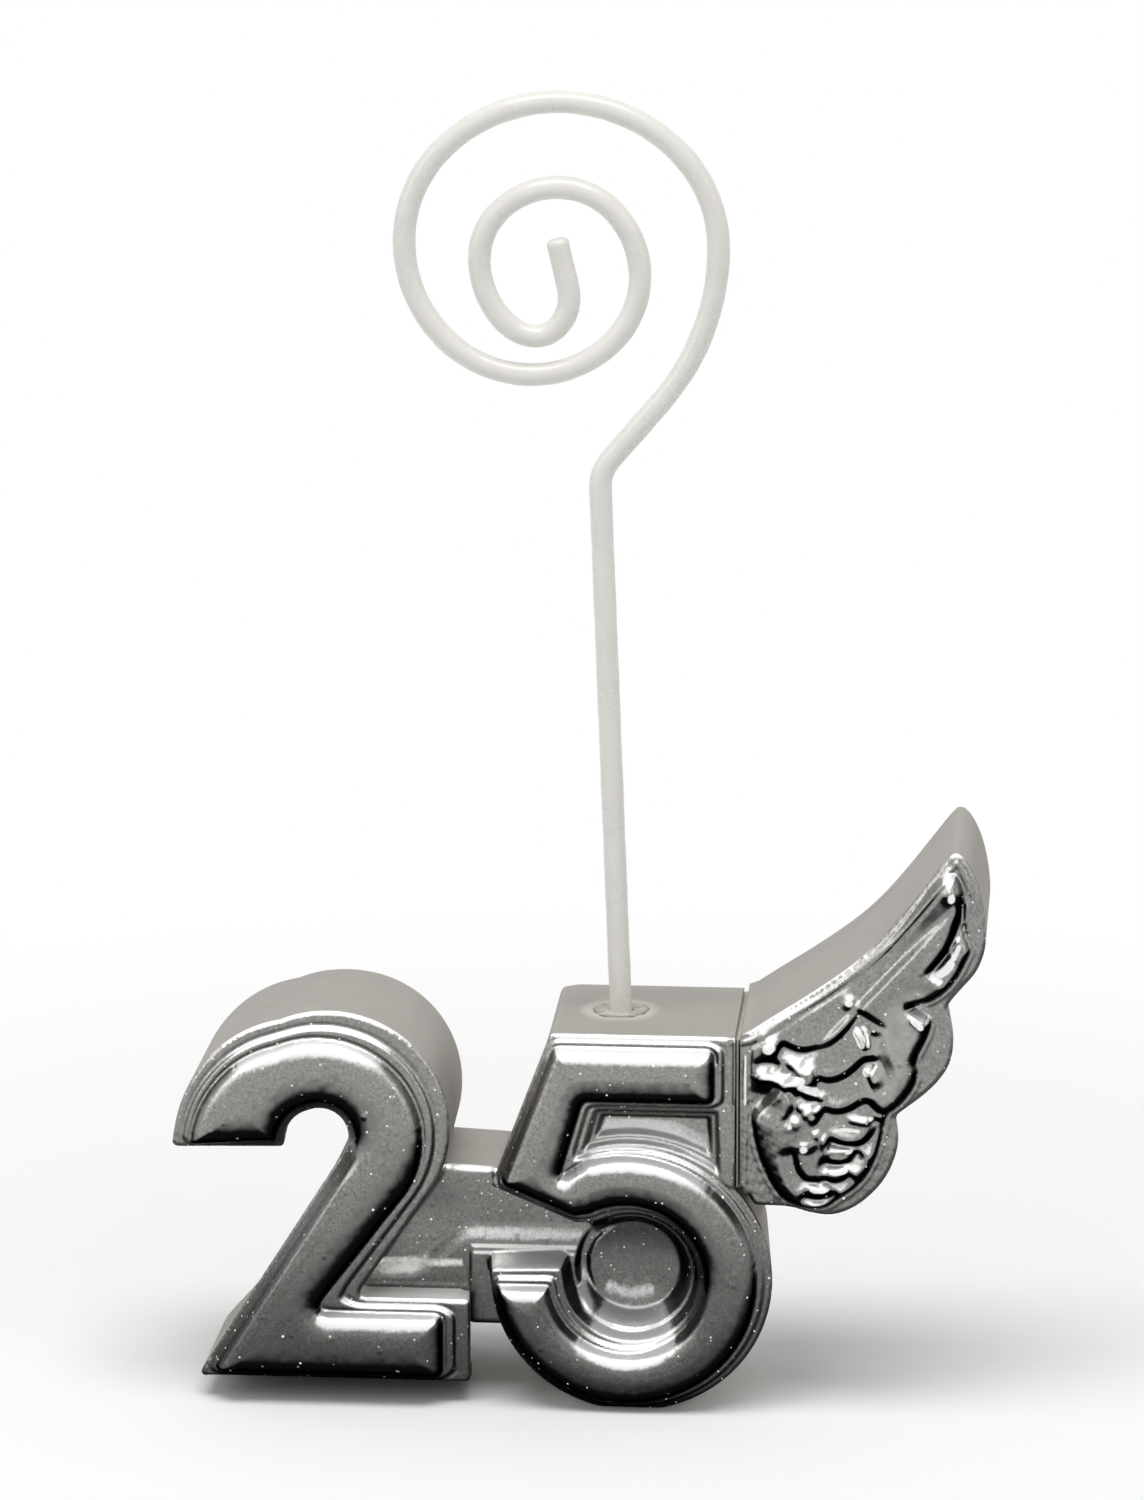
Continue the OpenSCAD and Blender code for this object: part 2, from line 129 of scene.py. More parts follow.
FIVE_BOWL = np.array([0.9, 10.0])
FIVE_BOWL_R = 9.45
FIVE_STROKE = 3.7
FIVE_LIP = 0.85
FIVE_END_SHARE = 1.4
FIVE_TOP = 28.45
FIVE_SHIFT = 0.3
FIVE_FACE_CORNER = 0.7
FIVE_BLOCK_CORNER = 0.45
BAR_RIGHT = 7.2
BAR_TOP = 27.6
BAR_LOW = 23.6
TERMINAL_Z = 9.35
SEAM_X = 8.69
SEAM_Z = 17.07
GLUE_LINE = 0.4
DISH_FLOOR = 3.3
TWO_HOOK = np.array([-21.55, 20.3])
TWO_R = 7.5
TWO_STROKE = 4.8
TWO_FLARE = 1.9
TWO_LIP = 1.3
TWO_INNER_LIP = 0.6
TWO_SHIFT = 0.7
TWO_DROP = 1.0
TWO_TIP_TURN = 184
TWO_FLARE_TURN = 115
TWO_ELBOW_TURN = -31.6
TWO_FOOT_TOP = 6.95
TWO_FOOT_LOW = 2.15
TWO_FOOT_RIGHT = -12.6
TWO_LEAN = 0.621
TWO_FACE_CORNER = 0.75
TWO_BLOCK_CORNER = 0.5
SOLE_SETBACK = 6.0
HALF_DEPTH = 6.5
WEB_BACK = HALF_DEPTH - 0.35
BORE_DEPTH = 9
GLUE_HALF_DEPTH = 6.35
GLUE_FOOT = 17.1
# A border that the height puts above this is a lip, and one below it lies in a recess
RECESS_START = -1.5
# Ring points lower than this don't move down
NEAR_TABLE = 2
# Shares that a lip's edge has: of a side's paint, of its lean up, and of its lean sideways
RIM_SIDE, RIM_TILT, RIM_ASIDE = 0.6, 0.7, 0.3
# Where the rings behind the border stand: shares of the draft's way, then degrees of the back's rounding
RING_SHARES = (0.03, 0.2, 0.4, 0.6, 0.8, 1)
RING_TURNS = (12, 25, 38, 51, 64, 76, 84, 90)


def polar(centre, radius, degrees):
    """Points on a round: centre plus radius times the cosine and sine of the angle."""
    a = np.radians(np.asarray(degrees, float))
    r = np.broadcast_to(radius, a.shape)
    return np.stack([centre[0] + r * np.cos(a), centre[1] + r * np.sin(a)], axis=-1)


def side_moved(side, gap, turn, end_share):
    """A side of a stroke moved outwards: each point goes along the mean of its two edges' normals, by the
    gap over the cosine of half the bend; the two ends also go on along the stroke by the end share of the
    gap."""
    edge = np.diff(side, axis=0)
    edge /= np.linalg.norm(edge, axis=1)[:, None]
    before, after = np.vstack([edge[:1], edge]), np.vstack([edge, edge[-1:]])
    n = np.stack([-before[:, 1], before[:, 0]], axis=1) * turn
    m = np.stack([-after[:, 1], after[:, 0]], axis=1) * turn
    out = side + (n + m) * gap / (1 + (n * m).sum(axis=1))[:, None]
    out[0] -= edge[0] * gap * end_share
    out[-1] += edge[-1] * gap * end_share
    return out


def outline(left, right, gap=0.0, end_share=1.0):
    """A closed outline from the two sides of a stroke, both moved outwards by the gap."""
    return np.vstack([side_moved(left, gap, 1, end_share), side_moved(right, gap, -1, end_share)[::-1]])


def eased(line, closed=False):
    """Cuts the corners of a line twice: each edge keeps its points at a quarter and three quarters, and an
    open line keeps its ends."""
    p = np.asarray(line, float)
    for _ in range(2):
        a, b = (p, np.roll(p, -1, axis=0)) if closed else (p[:-1], p[1:])
        cut = np.stack([a * 0.75 + b * 0.25, a * 0.25 + b * 0.75], axis=1).reshape(-1, 2)
        p = cut if closed else np.vstack([p[:1], cut, p[-1:]])
    return p


def rounded(points, radius):
    """Rounds the sharp corners of a closed outline: each becomes a curve that leaves its two edges at the
    radius times the tangent of half the bend, or at under half of the shorter edge."""
    p = np.asarray(points, float)
    out = []
    for before, corner, after in zip(np.roll(p, 1, axis=0), p, np.roll(p, -1, axis=0)):
        a, b = before - corner, after - corner
        la, lb = np.linalg.norm(a), np.linalg.norm(b)
        bend = math.pi - math.acos(np.clip(a @ b / (la * lb), -1, 1))
        if bend < 0.35:
            out.append(corner)
            continue
        reach = min(radius * math.tan(bend / 2), 0.45 * la, 0.45 * lb)
        for t in np.linspace(0, 1, 7):
            out.append(corner + a / la * reach * (1 - t) ** 2 + b / lb * reach * t ** 2)
    return np.array(out)


def two_sides(flare, drop=0.0):
    """Left and right side of the 2: an arc whose radius grows by the flare at its tip, then the elbow and
    the foot, whose upper edge is lower by the drop."""
    a = np.linspace(TWO_TIP_TURN, TWO_ELBOW_TURN, 60)
    opening = np.clip((a - TWO_FLARE_TURN) / (TWO_TIP_TURN - TWO_FLARE_TURN), 0, 1)
    top = TWO_FOOT_TOP - drop
    left = np.vstack([polar(TWO_HOOK, TWO_R + flare * opening, a), [[-22.2, top], [TWO_FOOT_RIGHT, top]]])
    right = np.vstack([polar(TWO_HOOK, TWO_R - TWO_STROKE + TWO_FLARE / 4 * opening, a),
                       [[-29.65, TWO_FOOT_LOW], [TWO_FOOT_RIGHT, TWO_FOOT_LOW]]])
    return left, right


def two_block():
    """Outline of the 2's block: the outer lip is wide and set to the right and up, the inner one is
    narrow."""
    outer = side_moved(two_sides(TWO_FLARE + TWO_SHIFT, TWO_DROP)[0], TWO_LIP, 1, 1) + TWO_SHIFT
    inner = side_moved(two_sides(TWO_FLARE)[1], TWO_INNER_LIP, -1, 1)
    corner = [outer[-1, 0], inner[-1, 1]]
    return np.vstack([outer, [corner], inner[-2::-1]])


def five_arc(radius, start):
    """The bowl's round from the start angle to the level terminal, whose angle follows from the radius."""
    end = math.degrees(math.asin((FIVE_BOWL[1] - TERMINAL_Z) / radius)) - 180
    return polar(FIVE_BOWL, radius, np.linspace(start, end, 90))


def five_sides():
    """Left and right side of the 5: the bar, the leaning stem and the bowl's round."""
    left = np.vstack([[[BAR_RIGHT, BAR_LOW], [-2.345, BAR_LOW], [-4.1, 17.5]], five_arc(FIVE_BOWL_R, 108)])
    right = np.vstack([[[BAR_RIGHT, BAR_TOP], [-4.4, BAR_TOP], [-8.3, 17.2], [-3, 14.9]],
                       five_arc(FIVE_BOWL_R - FIVE_STROKE, 122)[1:]])
    return left, right


TWO_LEFT, TWO_RIGHT = two_sides(TWO_FLARE)
TWO_FACE = rounded(outline(TWO_LEFT, TWO_RIGHT), TWO_FACE_CORNER)
TWO_BLOCK = rounded(two_block(), TWO_BLOCK_CORNER)
TWO_SOLE = np.array([[-29.9, 1.55], [-30.4, 0], [-11, 0], [-11, 2.45], [-22.2, 2.45]])
FIVE_LEFT, FIVE_RIGHT = five_sides()
FIVE_FACE = rounded(outline(FIVE_LEFT, FIVE_RIGHT), FIVE_FACE_CORNER)
FIVE_BLOCK = rounded(outline(FIVE_LEFT, FIVE_RIGHT, FIVE_LIP, FIVE_END_SHARE) + [FIVE_SHIFT, 0],
                     FIVE_BLOCK_CORNER)
FIVE_RIM = np.array([[BAR_RIGHT, BAR_TOP], [BAR_RIGHT, FIVE_TOP], [SEAM_X, FIVE_TOP], [SEAM_X, SEAM_Z],
                     [7.58, 16.68], [7.5, 20.4]])
FIVE_NOTCH = np.array([[-3.3, 25.5], [BAR_RIGHT, FIVE_TOP], [SEAM_X, FIVE_TOP], [SEAM_X, SEAM_Z], [4, 16],
                       [-2, 16], [-6, 17.3]])
FIVE_CHANNEL = np.array([[-6, 17.3], [-9.2, 16.4], [-9.7, 12], [-9.5, 9.5], [-6.5, 9.6], [0.9, 10],
                         [0.5, 17.5]])
WEB = np.array([[-17.5, 17.4], [-3.6, 16.7], [-5.5, 12], [-5.5, 5.2], [-26, 5.2]])


# Fields over the upright plane

def sink(points, closed):
    """Signed distance to a closed outline, positive inside: the least distance to its edges, with the sign
    of the count of edges that a level ray crosses."""
    least = np.full(len(points), 1e9)
    inside = np.zeros(len(points), bool)
    for (ax, az), (bx, bz) in zip(closed, np.roll(closed, -1, axis=0)):
        ex, ez = bx - ax, bz - az
        px, pz = points[:, 0] - ax, points[:, 1] - az
        t = np.clip((px * ex + pz * ez) / (ex * ex + ez * ez + 1e-12), 0, 1)
        least = np.minimum(least, (px - t * ex) ** 2 + (pz - t * ez) ** 2)
        if az != bz:
            inside ^= ((az > points[:, 1]) != (bz > points[:, 1])) & (px < ex * pz / ez)
    return np.where(inside, 1, -1) * np.sqrt(least)


def eased_step(t):
    """Zero below 0, one above 1, and three t squared less two t cubed between."""
    t = np.clip(t, 0, 1)
    return t * t * (3 - 2 * t)


def bell(gap, width):
    """A bell curve: e to the minus square of the gap over the width."""
    return np.exp(-(gap / width) ** 2)


def spot(points, place, radius):
    """A round bump: e to the minus squared distance to its place over the squared radius."""
    return np.exp(-((points - place) ** 2).sum(axis=1) / radius ** 2)


def dome(depth, width):
    """A rounded flank: the root of one less the square of the share of the width that is left."""
    t = np.clip(depth / width, 0, 1)
    return np.sqrt(1 - (1 - t) ** 2)


def worn(depth, radius):
    """How far a rounded edge lies below its top: the radius times what the dome leaves of one."""
    return radius * (1 - dome(depth, radius))


def from_bowl(points):
    """Distance from the middle of the 5's bowl, as its block has it."""
    return np.hypot(*(points - FIVE_BOWL - [FIVE_SHIFT, 0]).T)


def waves(points, scale, seed, count=7):
    """Smooth unevenness: a mean of sines with seeded directions and phases, of about the given
    wavelength."""
    rng = np.random.default_rng(seed)
    total = np.zeros(len(points))
    for _ in range(count):
        a = rng.uniform(0, 2 * math.pi)
        k = 2 * math.pi / scale * rng.uniform(0.6, 1.6)
        total += np.sin((points[:, 0] * math.cos(a) + points[:, 1] * math.sin(a)) * k + rng.uniform(0, 6.3))
    return total / count


def specks(points, low, high, count, radius, seed):
    """Small bumps at seeded places in a box, each a bell curve of the squared distance over the squared
    radius."""
    rng = np.random.default_rng(seed)
    total = np.zeros(len(points))
    for _ in range(count):
        at = rng.uniform(low, high)
        r = radius * rng.uniform(0.6, 1.3)
        total += rng.uniform(0.4, 1) * spot(points, at, r)
    return total


def relief(points, face, block, sizes, wider=1.0, groove=0.15):
    """Height of a figure's front above its lip: the block's rounded edge, the lip, the terrace, which takes
    the inner share of the lip's width, a fine groove on both its sides, and the pillow with its rounded flank
    and low crown. The flank is as many times wider, and the inner groove as deep, as the last two say."""
    d = sink(points, face)
    edge = sink(points, block)
    lip = -worn(edge, mm(sizes.lip_round))
    width = np.maximum(edge - d, 0.3)
    past = sizes.terrace_share * width + d
    terrace = mm(sizes.terrace) * eased_step(past / 0.2 + 0.5)
    grooves = -groove * bell(d + 0.08, 0.16) - 0.08 * bell(past + 0.2, 0.1)
    slope = 0.04 * np.clip(1 - past / width, 0, 1) * (d < 0)
    crown = sizes.crown_share * np.minimum(wider, 1.15)
    flank = dome(d, mm(sizes.flank) * wider)
    pillow = mm(sizes.pillow) * ((1 - crown) * flank + crown * dome(d, TWO_STROKE / 2))
    return lip + terrace + grooves - slope + pillow, d, edge


def blurred(height, inside, rounds=2):
    """Each height becomes a mean of itself and its four neighbours on the grid; heights outside don't
    count."""
    for _ in range(rounds):
        total, weight = height * inside * 4, inside * 4.0
        for axis in (0, 1):
            for step in (1, -1):
                total = total + np.roll(height * inside, step, axis=axis)
                weight = weight + np.roll(inside * 1.0, step, axis=axis)
        height = np.where(inside, total / np.maximum(weight, 1e-9), height)
    return height


def bridge(points, recess):
    """Height of the web and of the channel that goes on into the 5, seen from the lip: a fillet along the
    blocks, ledges along the lip of the foot and of the terminal, and a hollow."""
    wall = -np.maximum(sink(points, TWO_BLOCK), sink(points, FIVE_BLOCK))
    x, z = points.T
    fillet = 0.3 * (1 - eased_step(wall / 0.5))
    foot = 0.3 * eased_step((9.05 - z) / 0.2) + 0.25 * eased_step((8.3 - z) / 0.15)
    terminal = (0.3 * eased_step((11.3 - z) / 0.16) + 0.26 * eased_step((10.85 - z) / 0.16)) \
        * eased_step((x + 10.95) / 0.35)
    hollow = 0.35 * np.exp(-((points - [-14.5, 13.5]) ** 2 / [9, 6]).sum(axis=1))
    rise = 0.5 * eased_step((10.1 + 2.9 * eased_step((x + 15.5) / 5) - z) / 1.7) * eased_step((x + 20.5) / 2)
    rough = 0.03 * waves(points, 3, 31) + 0.07 * specks(points, (-20, 5), (-3, 17), 42, 0.12, 32)
    return -recess + np.maximum(fillet, np.maximum(foot, terminal * 0.6 + rise)) - hollow + rough


# Meshes

def in_scene(name, data):
    """A new object of the scene that shows the data."""
    made = bpy.data.objects.new(name, data)
    bpy.context.scene.collection.objects.link(made)
    return made


def new_object(name, vertices, faces, finish, replaced):
    """Puts a finished mesh in the scene at the origin, riding on the one body."""
    mesh = bpy.data.meshes.new(name)
    mesh.from_pydata(np.asarray(vertices).tolist(), [], faces)
    mesh.validate()
    mesh.polygons.foreach_set("use_smooth", [True] * len(mesh.polygons))
    mesh.update()
    piece = in_scene(name, mesh)
    mesh.materials.append(finish)
    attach(piece, BODY)
    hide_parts(*replaced)
    return piece


def recalculated(piece):
    """Turns every face of a closed mesh outwards."""
    bm = bmesh.new()
    bm.from_mesh(piece.data)
    bmesh.ops.recalc_face_normals(bm, faces=bm.faces)
    bm.to_mesh(piece.data)
    bm.free()


def attribute(piece, name, values):
    """Stores one number a vertex, for the material to read."""
    stored = piece.data.attributes.new(name, "FLOAT", "POINT")
    stored.data.foreach_set("value", np.asarray(values, np.float32))


def sampled(field, at):
    """Values of a grid between its points: the mean of the four points round each place, by nearness."""
    at = np.clip(at, 0, np.array(field.shape[:2]) - 1.001)
    i, j = at[:, 0].astype(int), at[:, 1].astype(int)
    u, v = at[:, 0] - i, at[:, 1] - j
    if field.ndim == 3:
        u, v = u[:, None], v[:, None]
    return (field[i, j] * (1 - u) * (1 - v) + field[i + 1, j] * u * (1 - v)
            + field[i, j + 1] * (1 - u) * v + field[i + 1, j + 1] * u * v)


def block_grid(low, high, cell, domain):
    """The grid's quads inside the domain are kept, and the points on their border are moved down the
    domain's slope to its zero line. Returns the grid, the moved grid, the domain's values, and which quads
    and points are kept."""
    xs, zs = np.arange(low[0], high[0] + cell, cell), np.arange(low[1], high[1] + cell, cell)
    grid = np.stack(np.meshgrid(xs, zs, indexing="ij"), axis=-1)
    shape = grid.shape[:2]
    d = domain(grid.reshape(-1, 2)).reshape(shape)
    middle = (d[:-1, :-1] + d[1:, :-1] + d[:-1, 1:] + d[1:, 1:]) / 4
    kept = middle > 0.05 * cell
    kept_at = np.zeros((shape[0] + 1, shape[1] + 1), bool)
    kept_at[1:-1, 1:-1] = kept
    corners = np.stack([kept_at[:-1, :-1], kept_at[1:, :-1], kept_at[:-1, 1:], kept_at[1:, 1:]])
    used = corners.any(axis=0)
    border = (used & ~corners.all(axis=0))[..., None]
    gx, gz = np.gradient(d, cell)
    slope = np.stack([gx, gz], axis=-1) / np.maximum(np.hypot(gx, gz), 1e-6)[..., None]
    moved = np.where(border, grid - slope * np.clip(d, -1.2 * cell, 1.2 * cell)[..., None], grid)
    rest = domain(moved.reshape(-1, 2)).reshape(shape)
    moved = np.where(border, moved - slope * np.clip(rest, -cell, cell)[..., None] * 0.8, moved)
    return grid, moved, d, kept, used


def border_edges(quads, count):
    """Edges that one quad alone has, in that quad's direction."""
    edges = np.concatenate([quads[:, [0, 1]], quads[:, [1, 2]], quads[:, [2, 3]], quads[:, [3, 0]]])
    key = np.sort(edges, axis=1)
    _, first, uses = np.unique(key[:, 0] * count + key[:, 1], return_index=True, return_counts=True)
    return edges[first[uses == 1]]


def rings_behind(start, wide, climb, low, cell, steps):
    """One ring of points a step, behind the border: the points climb the slope of the wide domain until
    they are as deep in it as the step asks. Near the table they move sideways or up, and not down."""
    at = start[:, [0, 2]].copy()
    rings = []
    for into, y in steps:
        for _ in range(4):
            place = (at - low) / cell
            short = np.clip(into - np.maximum(sampled(wide, place), 0), 0, None)
            way = sampled(climb, place)
            way[:, 1] = np.where(at[:, 1] < NEAR_TABLE, np.maximum(way[:, 1], 0), way[:, 1])
            at = at + way * (short * 0.7)[:, None]
        rings.append(np.stack([at[:, 0], np.broadcast_to(y, len(start)), at[:, 1]], axis=1))
    return rings


def closed_back(piece, front_count):
    """Makes the rim of the front sharp and closes the back with one flat face. At a corner the last ring's
    points can meet: they become one."""
    bm = bmesh.new()
    bm.from_mesh(piece.data)
    for e in bm.edges:
        ends = max(v.index for v in e.verts)
        around = max(v.index for f in e.link_faces for v in f.verts)
        if ends < front_count <= around:
            e.smooth = False
    bmesh.ops.remove_doubles(bm, verts=[v for v in bm.verts if v.is_boundary], dist=0.003 * MM)
    open_edges = [e for e in bm.edges if e.is_boundary]
    made = bmesh.ops.triangle_fill(bm, use_beauty=True, use_dissolve=False, edges=open_edges,
                                   normal=(0, 1, 0))
    for face in made["geom"]:
        if isinstance(face, bmesh.types.BMFace):
            face.smooth = False
    bmesh.ops.recalc_face_normals(bm, faces=bm.faces)
    bm.to_mesh(piece.data)
    bm.free()


def casting(name, low, high, domain, height, sizes, replaced, back_y=HALF_DEPTH, beyond=(), tapers=None,
            upright=False, face=None, glints=None):
    """A cast block over a grid. The front is at minus half the depth less the height. Rings behind its
    border go back along Y and inwards, evenly by the draft and then along a quarter round, to a flat back.
    The sides that an outline beyond the block covers stay square to its face; tapers give each place its
    own share of the draft and of the round; face and glints give the paint the raised face and the painted
    highlight lines."""
    c = mm(sizes.cell)
    grid, moved, d, kept, used = block_grid(low, high, c, domain)
    shape = d.shape
    up = blurred(height(moved.reshape(-1, 2)).reshape(shape), used)
    number = np.full(shape, -1)
    number[used] = np.arange(used.sum())
    flat = moved[used]
    front = np.stack([flat[:, 0], -HALF_DEPTH - up[used], flat[:, 1]], axis=1)
    quads = np.stack([number[:-1, :-1], number[1:, :-1], number[1:, 1:], number[:-1, 1:]], axis=-1)[kept]
    rim = border_edges(quads, len(front))
    rim_points = np.unique(rim)
    start = front[rim_points]

    wide = np.maximum.reduce([d] + [sink(grid.reshape(-1, 2), more).reshape(shape) for more in beyond])
    climb = np.stack(np.gradient(blurred(wide, np.ones(shape, bool), 8), c), axis=-1)
    climb /= np.maximum(np.linalg.norm(climb, axis=-1), 1e-6)[..., None]
    r, draft = (0.1, 0) if upright else (mm(sizes.back_round), mm(sizes.draft))
    if tapers is not None:
        draft_share, round_share = tapers(start[:, [0, 2]])
        draft, r = draft * draft_share, r * round_share
    steps = [(draft * f, (back_y - r) * f + start[:, 1] * (1 - f)) for f in RING_SHARES]
    steps += [(draft + r * (1 - math.cos(a)), back_y - r + r * math.sin(a)) for a in np.radians(RING_TURNS)]
    rings = rings_behind(start, wide, climb, low, c, steps)

    place = np.full(len(front), -1)
    place[rim_points] = np.arange(len(rim_points))
    a, b = place[rim[:, 0]], place[rim[:, 1]]
    faces = [quads]
    behind_a, behind_b = rim[:, 0], rim[:, 1]
    for k in range(len(rings)):
        base = len(front) + k * len(rim_points)
        faces.append(np.stack([behind_b, behind_a, base + a, base + b], axis=1))
        behind_a, behind_b = base + a, base + b
    points = np.vstack([front] + rings)
    points[:, 2] = np.maximum(points[:, 2], 0)
    piece = new_object(name, points * MM, np.vstack(faces).tolist(), material("silver"), replaced)

    # How far each point is round to the side, how far the front leans up there, the square of how far it
    # leans sideways, the painted highlight lines, and which points lie outside the raised face
    ux, uz = np.gradient(up, c)
    steep = 1 + ux ** 2 + uz ** 2
    outwards = -sampled(climb, (start[:, [0, 2]] - low) / c)
    at_lip = up[used][rim_points] > RECESS_START
    side, tilt, aside, painted_glints = np.zeros((4, len(points)))
    side[len(front):] = 1
    side[rim_points] = RIM_SIDE * at_lip
    tilt[:len(front)] = (-uz / np.sqrt(steep))[used]
    aside[:len(front)] = (ux ** 2 / steep)[used]
    tilt[rim_points] = np.where(at_lip, RIM_TILT * outwards[:, 1], tilt[rim_points])
    aside[rim_points] = np.where(at_lip, RIM_ASIDE * outwards[:, 0] ** 2, aside[rim_points])
    tilt[len(front):] = np.tile(tilt[rim_points], len(rings))
    # Painted highlights along the glint lines
    if glints is not None:
        painted_glints[:len(front)] = glints(flat)
    below_face = np.ones(len(points))
    if face is not None:
        below_face[:len(front)] = eased_step(0.5 - face(flat) / 0.3)
    stored = {"side": side, "tilt": tilt, "aside": aside, "painted_glints": painted_glints, "low": below_face}
    for label, values in stored.items():
        attribute(piece, label, values)
    closed_back(piece, len(front))
    return piece


def tube(path, radii, sides):
    """Rings round a flat path: at each point, radius times the cosine of the angle along the path's normal
    and times its sine along Y."""
    way = np.gradient(path, axis=0)
    way /= np.linalg.norm(way, axis=1)[:, None]
    normal = np.stack([way[:, 1], -way[:, 0]], axis=1)
    a = np.linspace(0, 2 * math.pi, sides, endpoint=False)
    x = path[:, 0, None] + radii[:, None] * np.cos(a) * normal[:, 0, None]
    z = path[:, 1, None] + radii[:, None] * np.cos(a) * normal[:, 1, None]
    y = -radii[:, None] * np.sin(a) + 0 * x
    return np.stack([x, y, z], axis=-1)


def skin(rings, closed=False):
    """Quads between rings of equally many points. If closed, the last ring goes on to the first one, or else
    a flat face closes each end."""
    count, sides = rings.shape[:2]
    i = np.arange(count if closed else count - 1)[:, None]
    j = np.arange(sides)[None]
    here, ahead, k = i * sides, (i + 1) % count * sides, (j + 1) % sides
    faces = np.stack([here + j, here + k, ahead + k, ahead + j], axis=-1).reshape(-1, 4).tolist()
    if not closed:
        faces += [list(range(sides))[::-1], list(range((count - 1) * sides, count * sides))]
    return rings.reshape(-1, 3), faces


# Shader maths

def shade(colour, amount):
    """The colour with each part times the amount."""
    return tuple(part * amount for part in colour)


class Value:
    """A socket that adds Math nodes when it is used in an expression."""

    def __init__(self, nodes, socket):
        self.nodes, self.socket = nodes, socket

    def math(self, operation, *others):
        """The Math node's result for this value and the others."""
        made = self.nodes.node("ShaderNodeMath", {"operation": operation}, self, *others)
        return Value(self.nodes, made.outputs[0])

    def __add__(self, other):
        return self.math("ADD", other)

    def __sub__(self, other):
        return self.math("SUBTRACT", other)

    def __rsub__(self, other):
        return (self * -1).math("ADD", other)

    def __mul__(self, other):
        return self.math("MULTIPLY", other)

    __radd__ = __add__
    __rmul__ = __mul__

    def power(self, other):
        """This value to the power of the other."""
        return self.math("POWER", other)

    def fall(self, low, high):
        """Falls smoothly from 1 at low to 0 at high."""
        return (self * -1).ramp(-high, -low)

    def ramp(self, low, high):
        """Rises smoothly from 0 at low to 1 at high."""
        smooth = {"interpolation_type": "SMOOTHSTEP"}
        made = self.nodes.node("ShaderNodeMapRange", smooth, self, low, high, 0.0, 1.0)
        return Value(self.nodes, made.outputs[0])


class Nodes:
    """A node tree that nodes are added to."""

    def __init__(self, tree):
        self.tree = tree

    def node(self, kind, settings, *values, **named):
        """Adds a node: its settings first, then its sockets' values or links, in order or by name."""
        made = self.tree.nodes.new(kind)
        for key, setting in settings.items():
            setattr(made, key, setting)
        for socket, value in zip(made.inputs, values):
            self.fill(socket, value)
        for key, value in named.items():
            self.fill(made.inputs[key], value)
        return made

    def fill(self, socket, value):
        """Links a socket to a value, or sets it."""
        value = value.socket if isinstance(value, Value) else value
        if isinstance(value, bpy.types.NodeSocket):
            self.tree.links.new(value, socket)
        else:
            socket.default_value = value

    def seen(self):
        """One for rays from the camera, from mirrors and through glass, and zero for all others."""
        rays = self.node("ShaderNodeLightPath", {}).outputs
        kinds = ("Camera", "Glossy", "Transmission")
        camera, glossy, through = (Value(self, rays[f"Is {kind} Ray"]) for kind in kinds)
        return camera.math("MAXIMUM", glossy).math("MAXIMUM", through)


class Finish(Nodes):
    """A material with its nodes."""

    def __init__(self, name, base, roughness, metallic=0.0):
        self.material = bpy.data.materials.new(name)
        self.material.use_nodes = True
        super().__init__(self.material.node_tree)
        self.shader = self.tree.nodes["Principled BSDF"]
        self.shader.inputs["Base Color"].default_value = (*base, 1)
        self.shader.inputs["Roughness"].default_value = roughness
        self.shader.inputs["Metallic"].default_value = metallic
        self.place = self.node("ShaderNodeTexCoord", {}).outputs["Object"]

    def noise(self, scale, detail=2.0, roughness=0.5):
        """Soft noise from 0 to 1, finer at a larger scale."""
        made = self.node("ShaderNodeTexNoise", {}, Vector=self.place, Scale=scale, Detail=detail,
                         Roughness=roughness)
        return Value(self, made.outputs["Fac"])

    def cells(self, scale):
        """Distance to the nearest seeded point, and that point's own random number."""
        made = self.node("ShaderNodeTexVoronoi", {}, Vector=self.place, Scale=scale)
        split = self.node("ShaderNodeSeparateColor", {}, made.outputs["Color"])
        return Value(self, made.outputs["Distance"]), Value(self, split.outputs[0])

    def stored(self, name):
        """The number that the mesh stores under this name."""
        made = self.node("ShaderNodeAttribute", {"attribute_name": name})
        return Value(self, made.outputs["Fac"])

    def mixed(self, amount, low, high):
        """A colour between two colours or colour links."""
        made = self.node("ShaderNodeMix", {"data_type": "RGBA"})
        self.fill(made.inputs[0], amount)
        for socket, colour in ((made.inputs[6], low), (made.inputs[7], high)):
            self.fill(socket, (*colour, 1) if hasattr(colour, "__len__") else colour)
        return made.outputs[2]

    def feed(self, socket, value):
        """Links the material's own socket to a value."""
        self.fill(self.shader.inputs[socket], value)

    def bump(self, height, distance):
        """Raises the surface by the height times the distance in metres."""
        made = self.node("ShaderNodeBump", {}, Strength=1.0, Distance=distance, Height=height)
        self.tree.links.new(made.outputs[0], self.shader.inputs["Normal"])


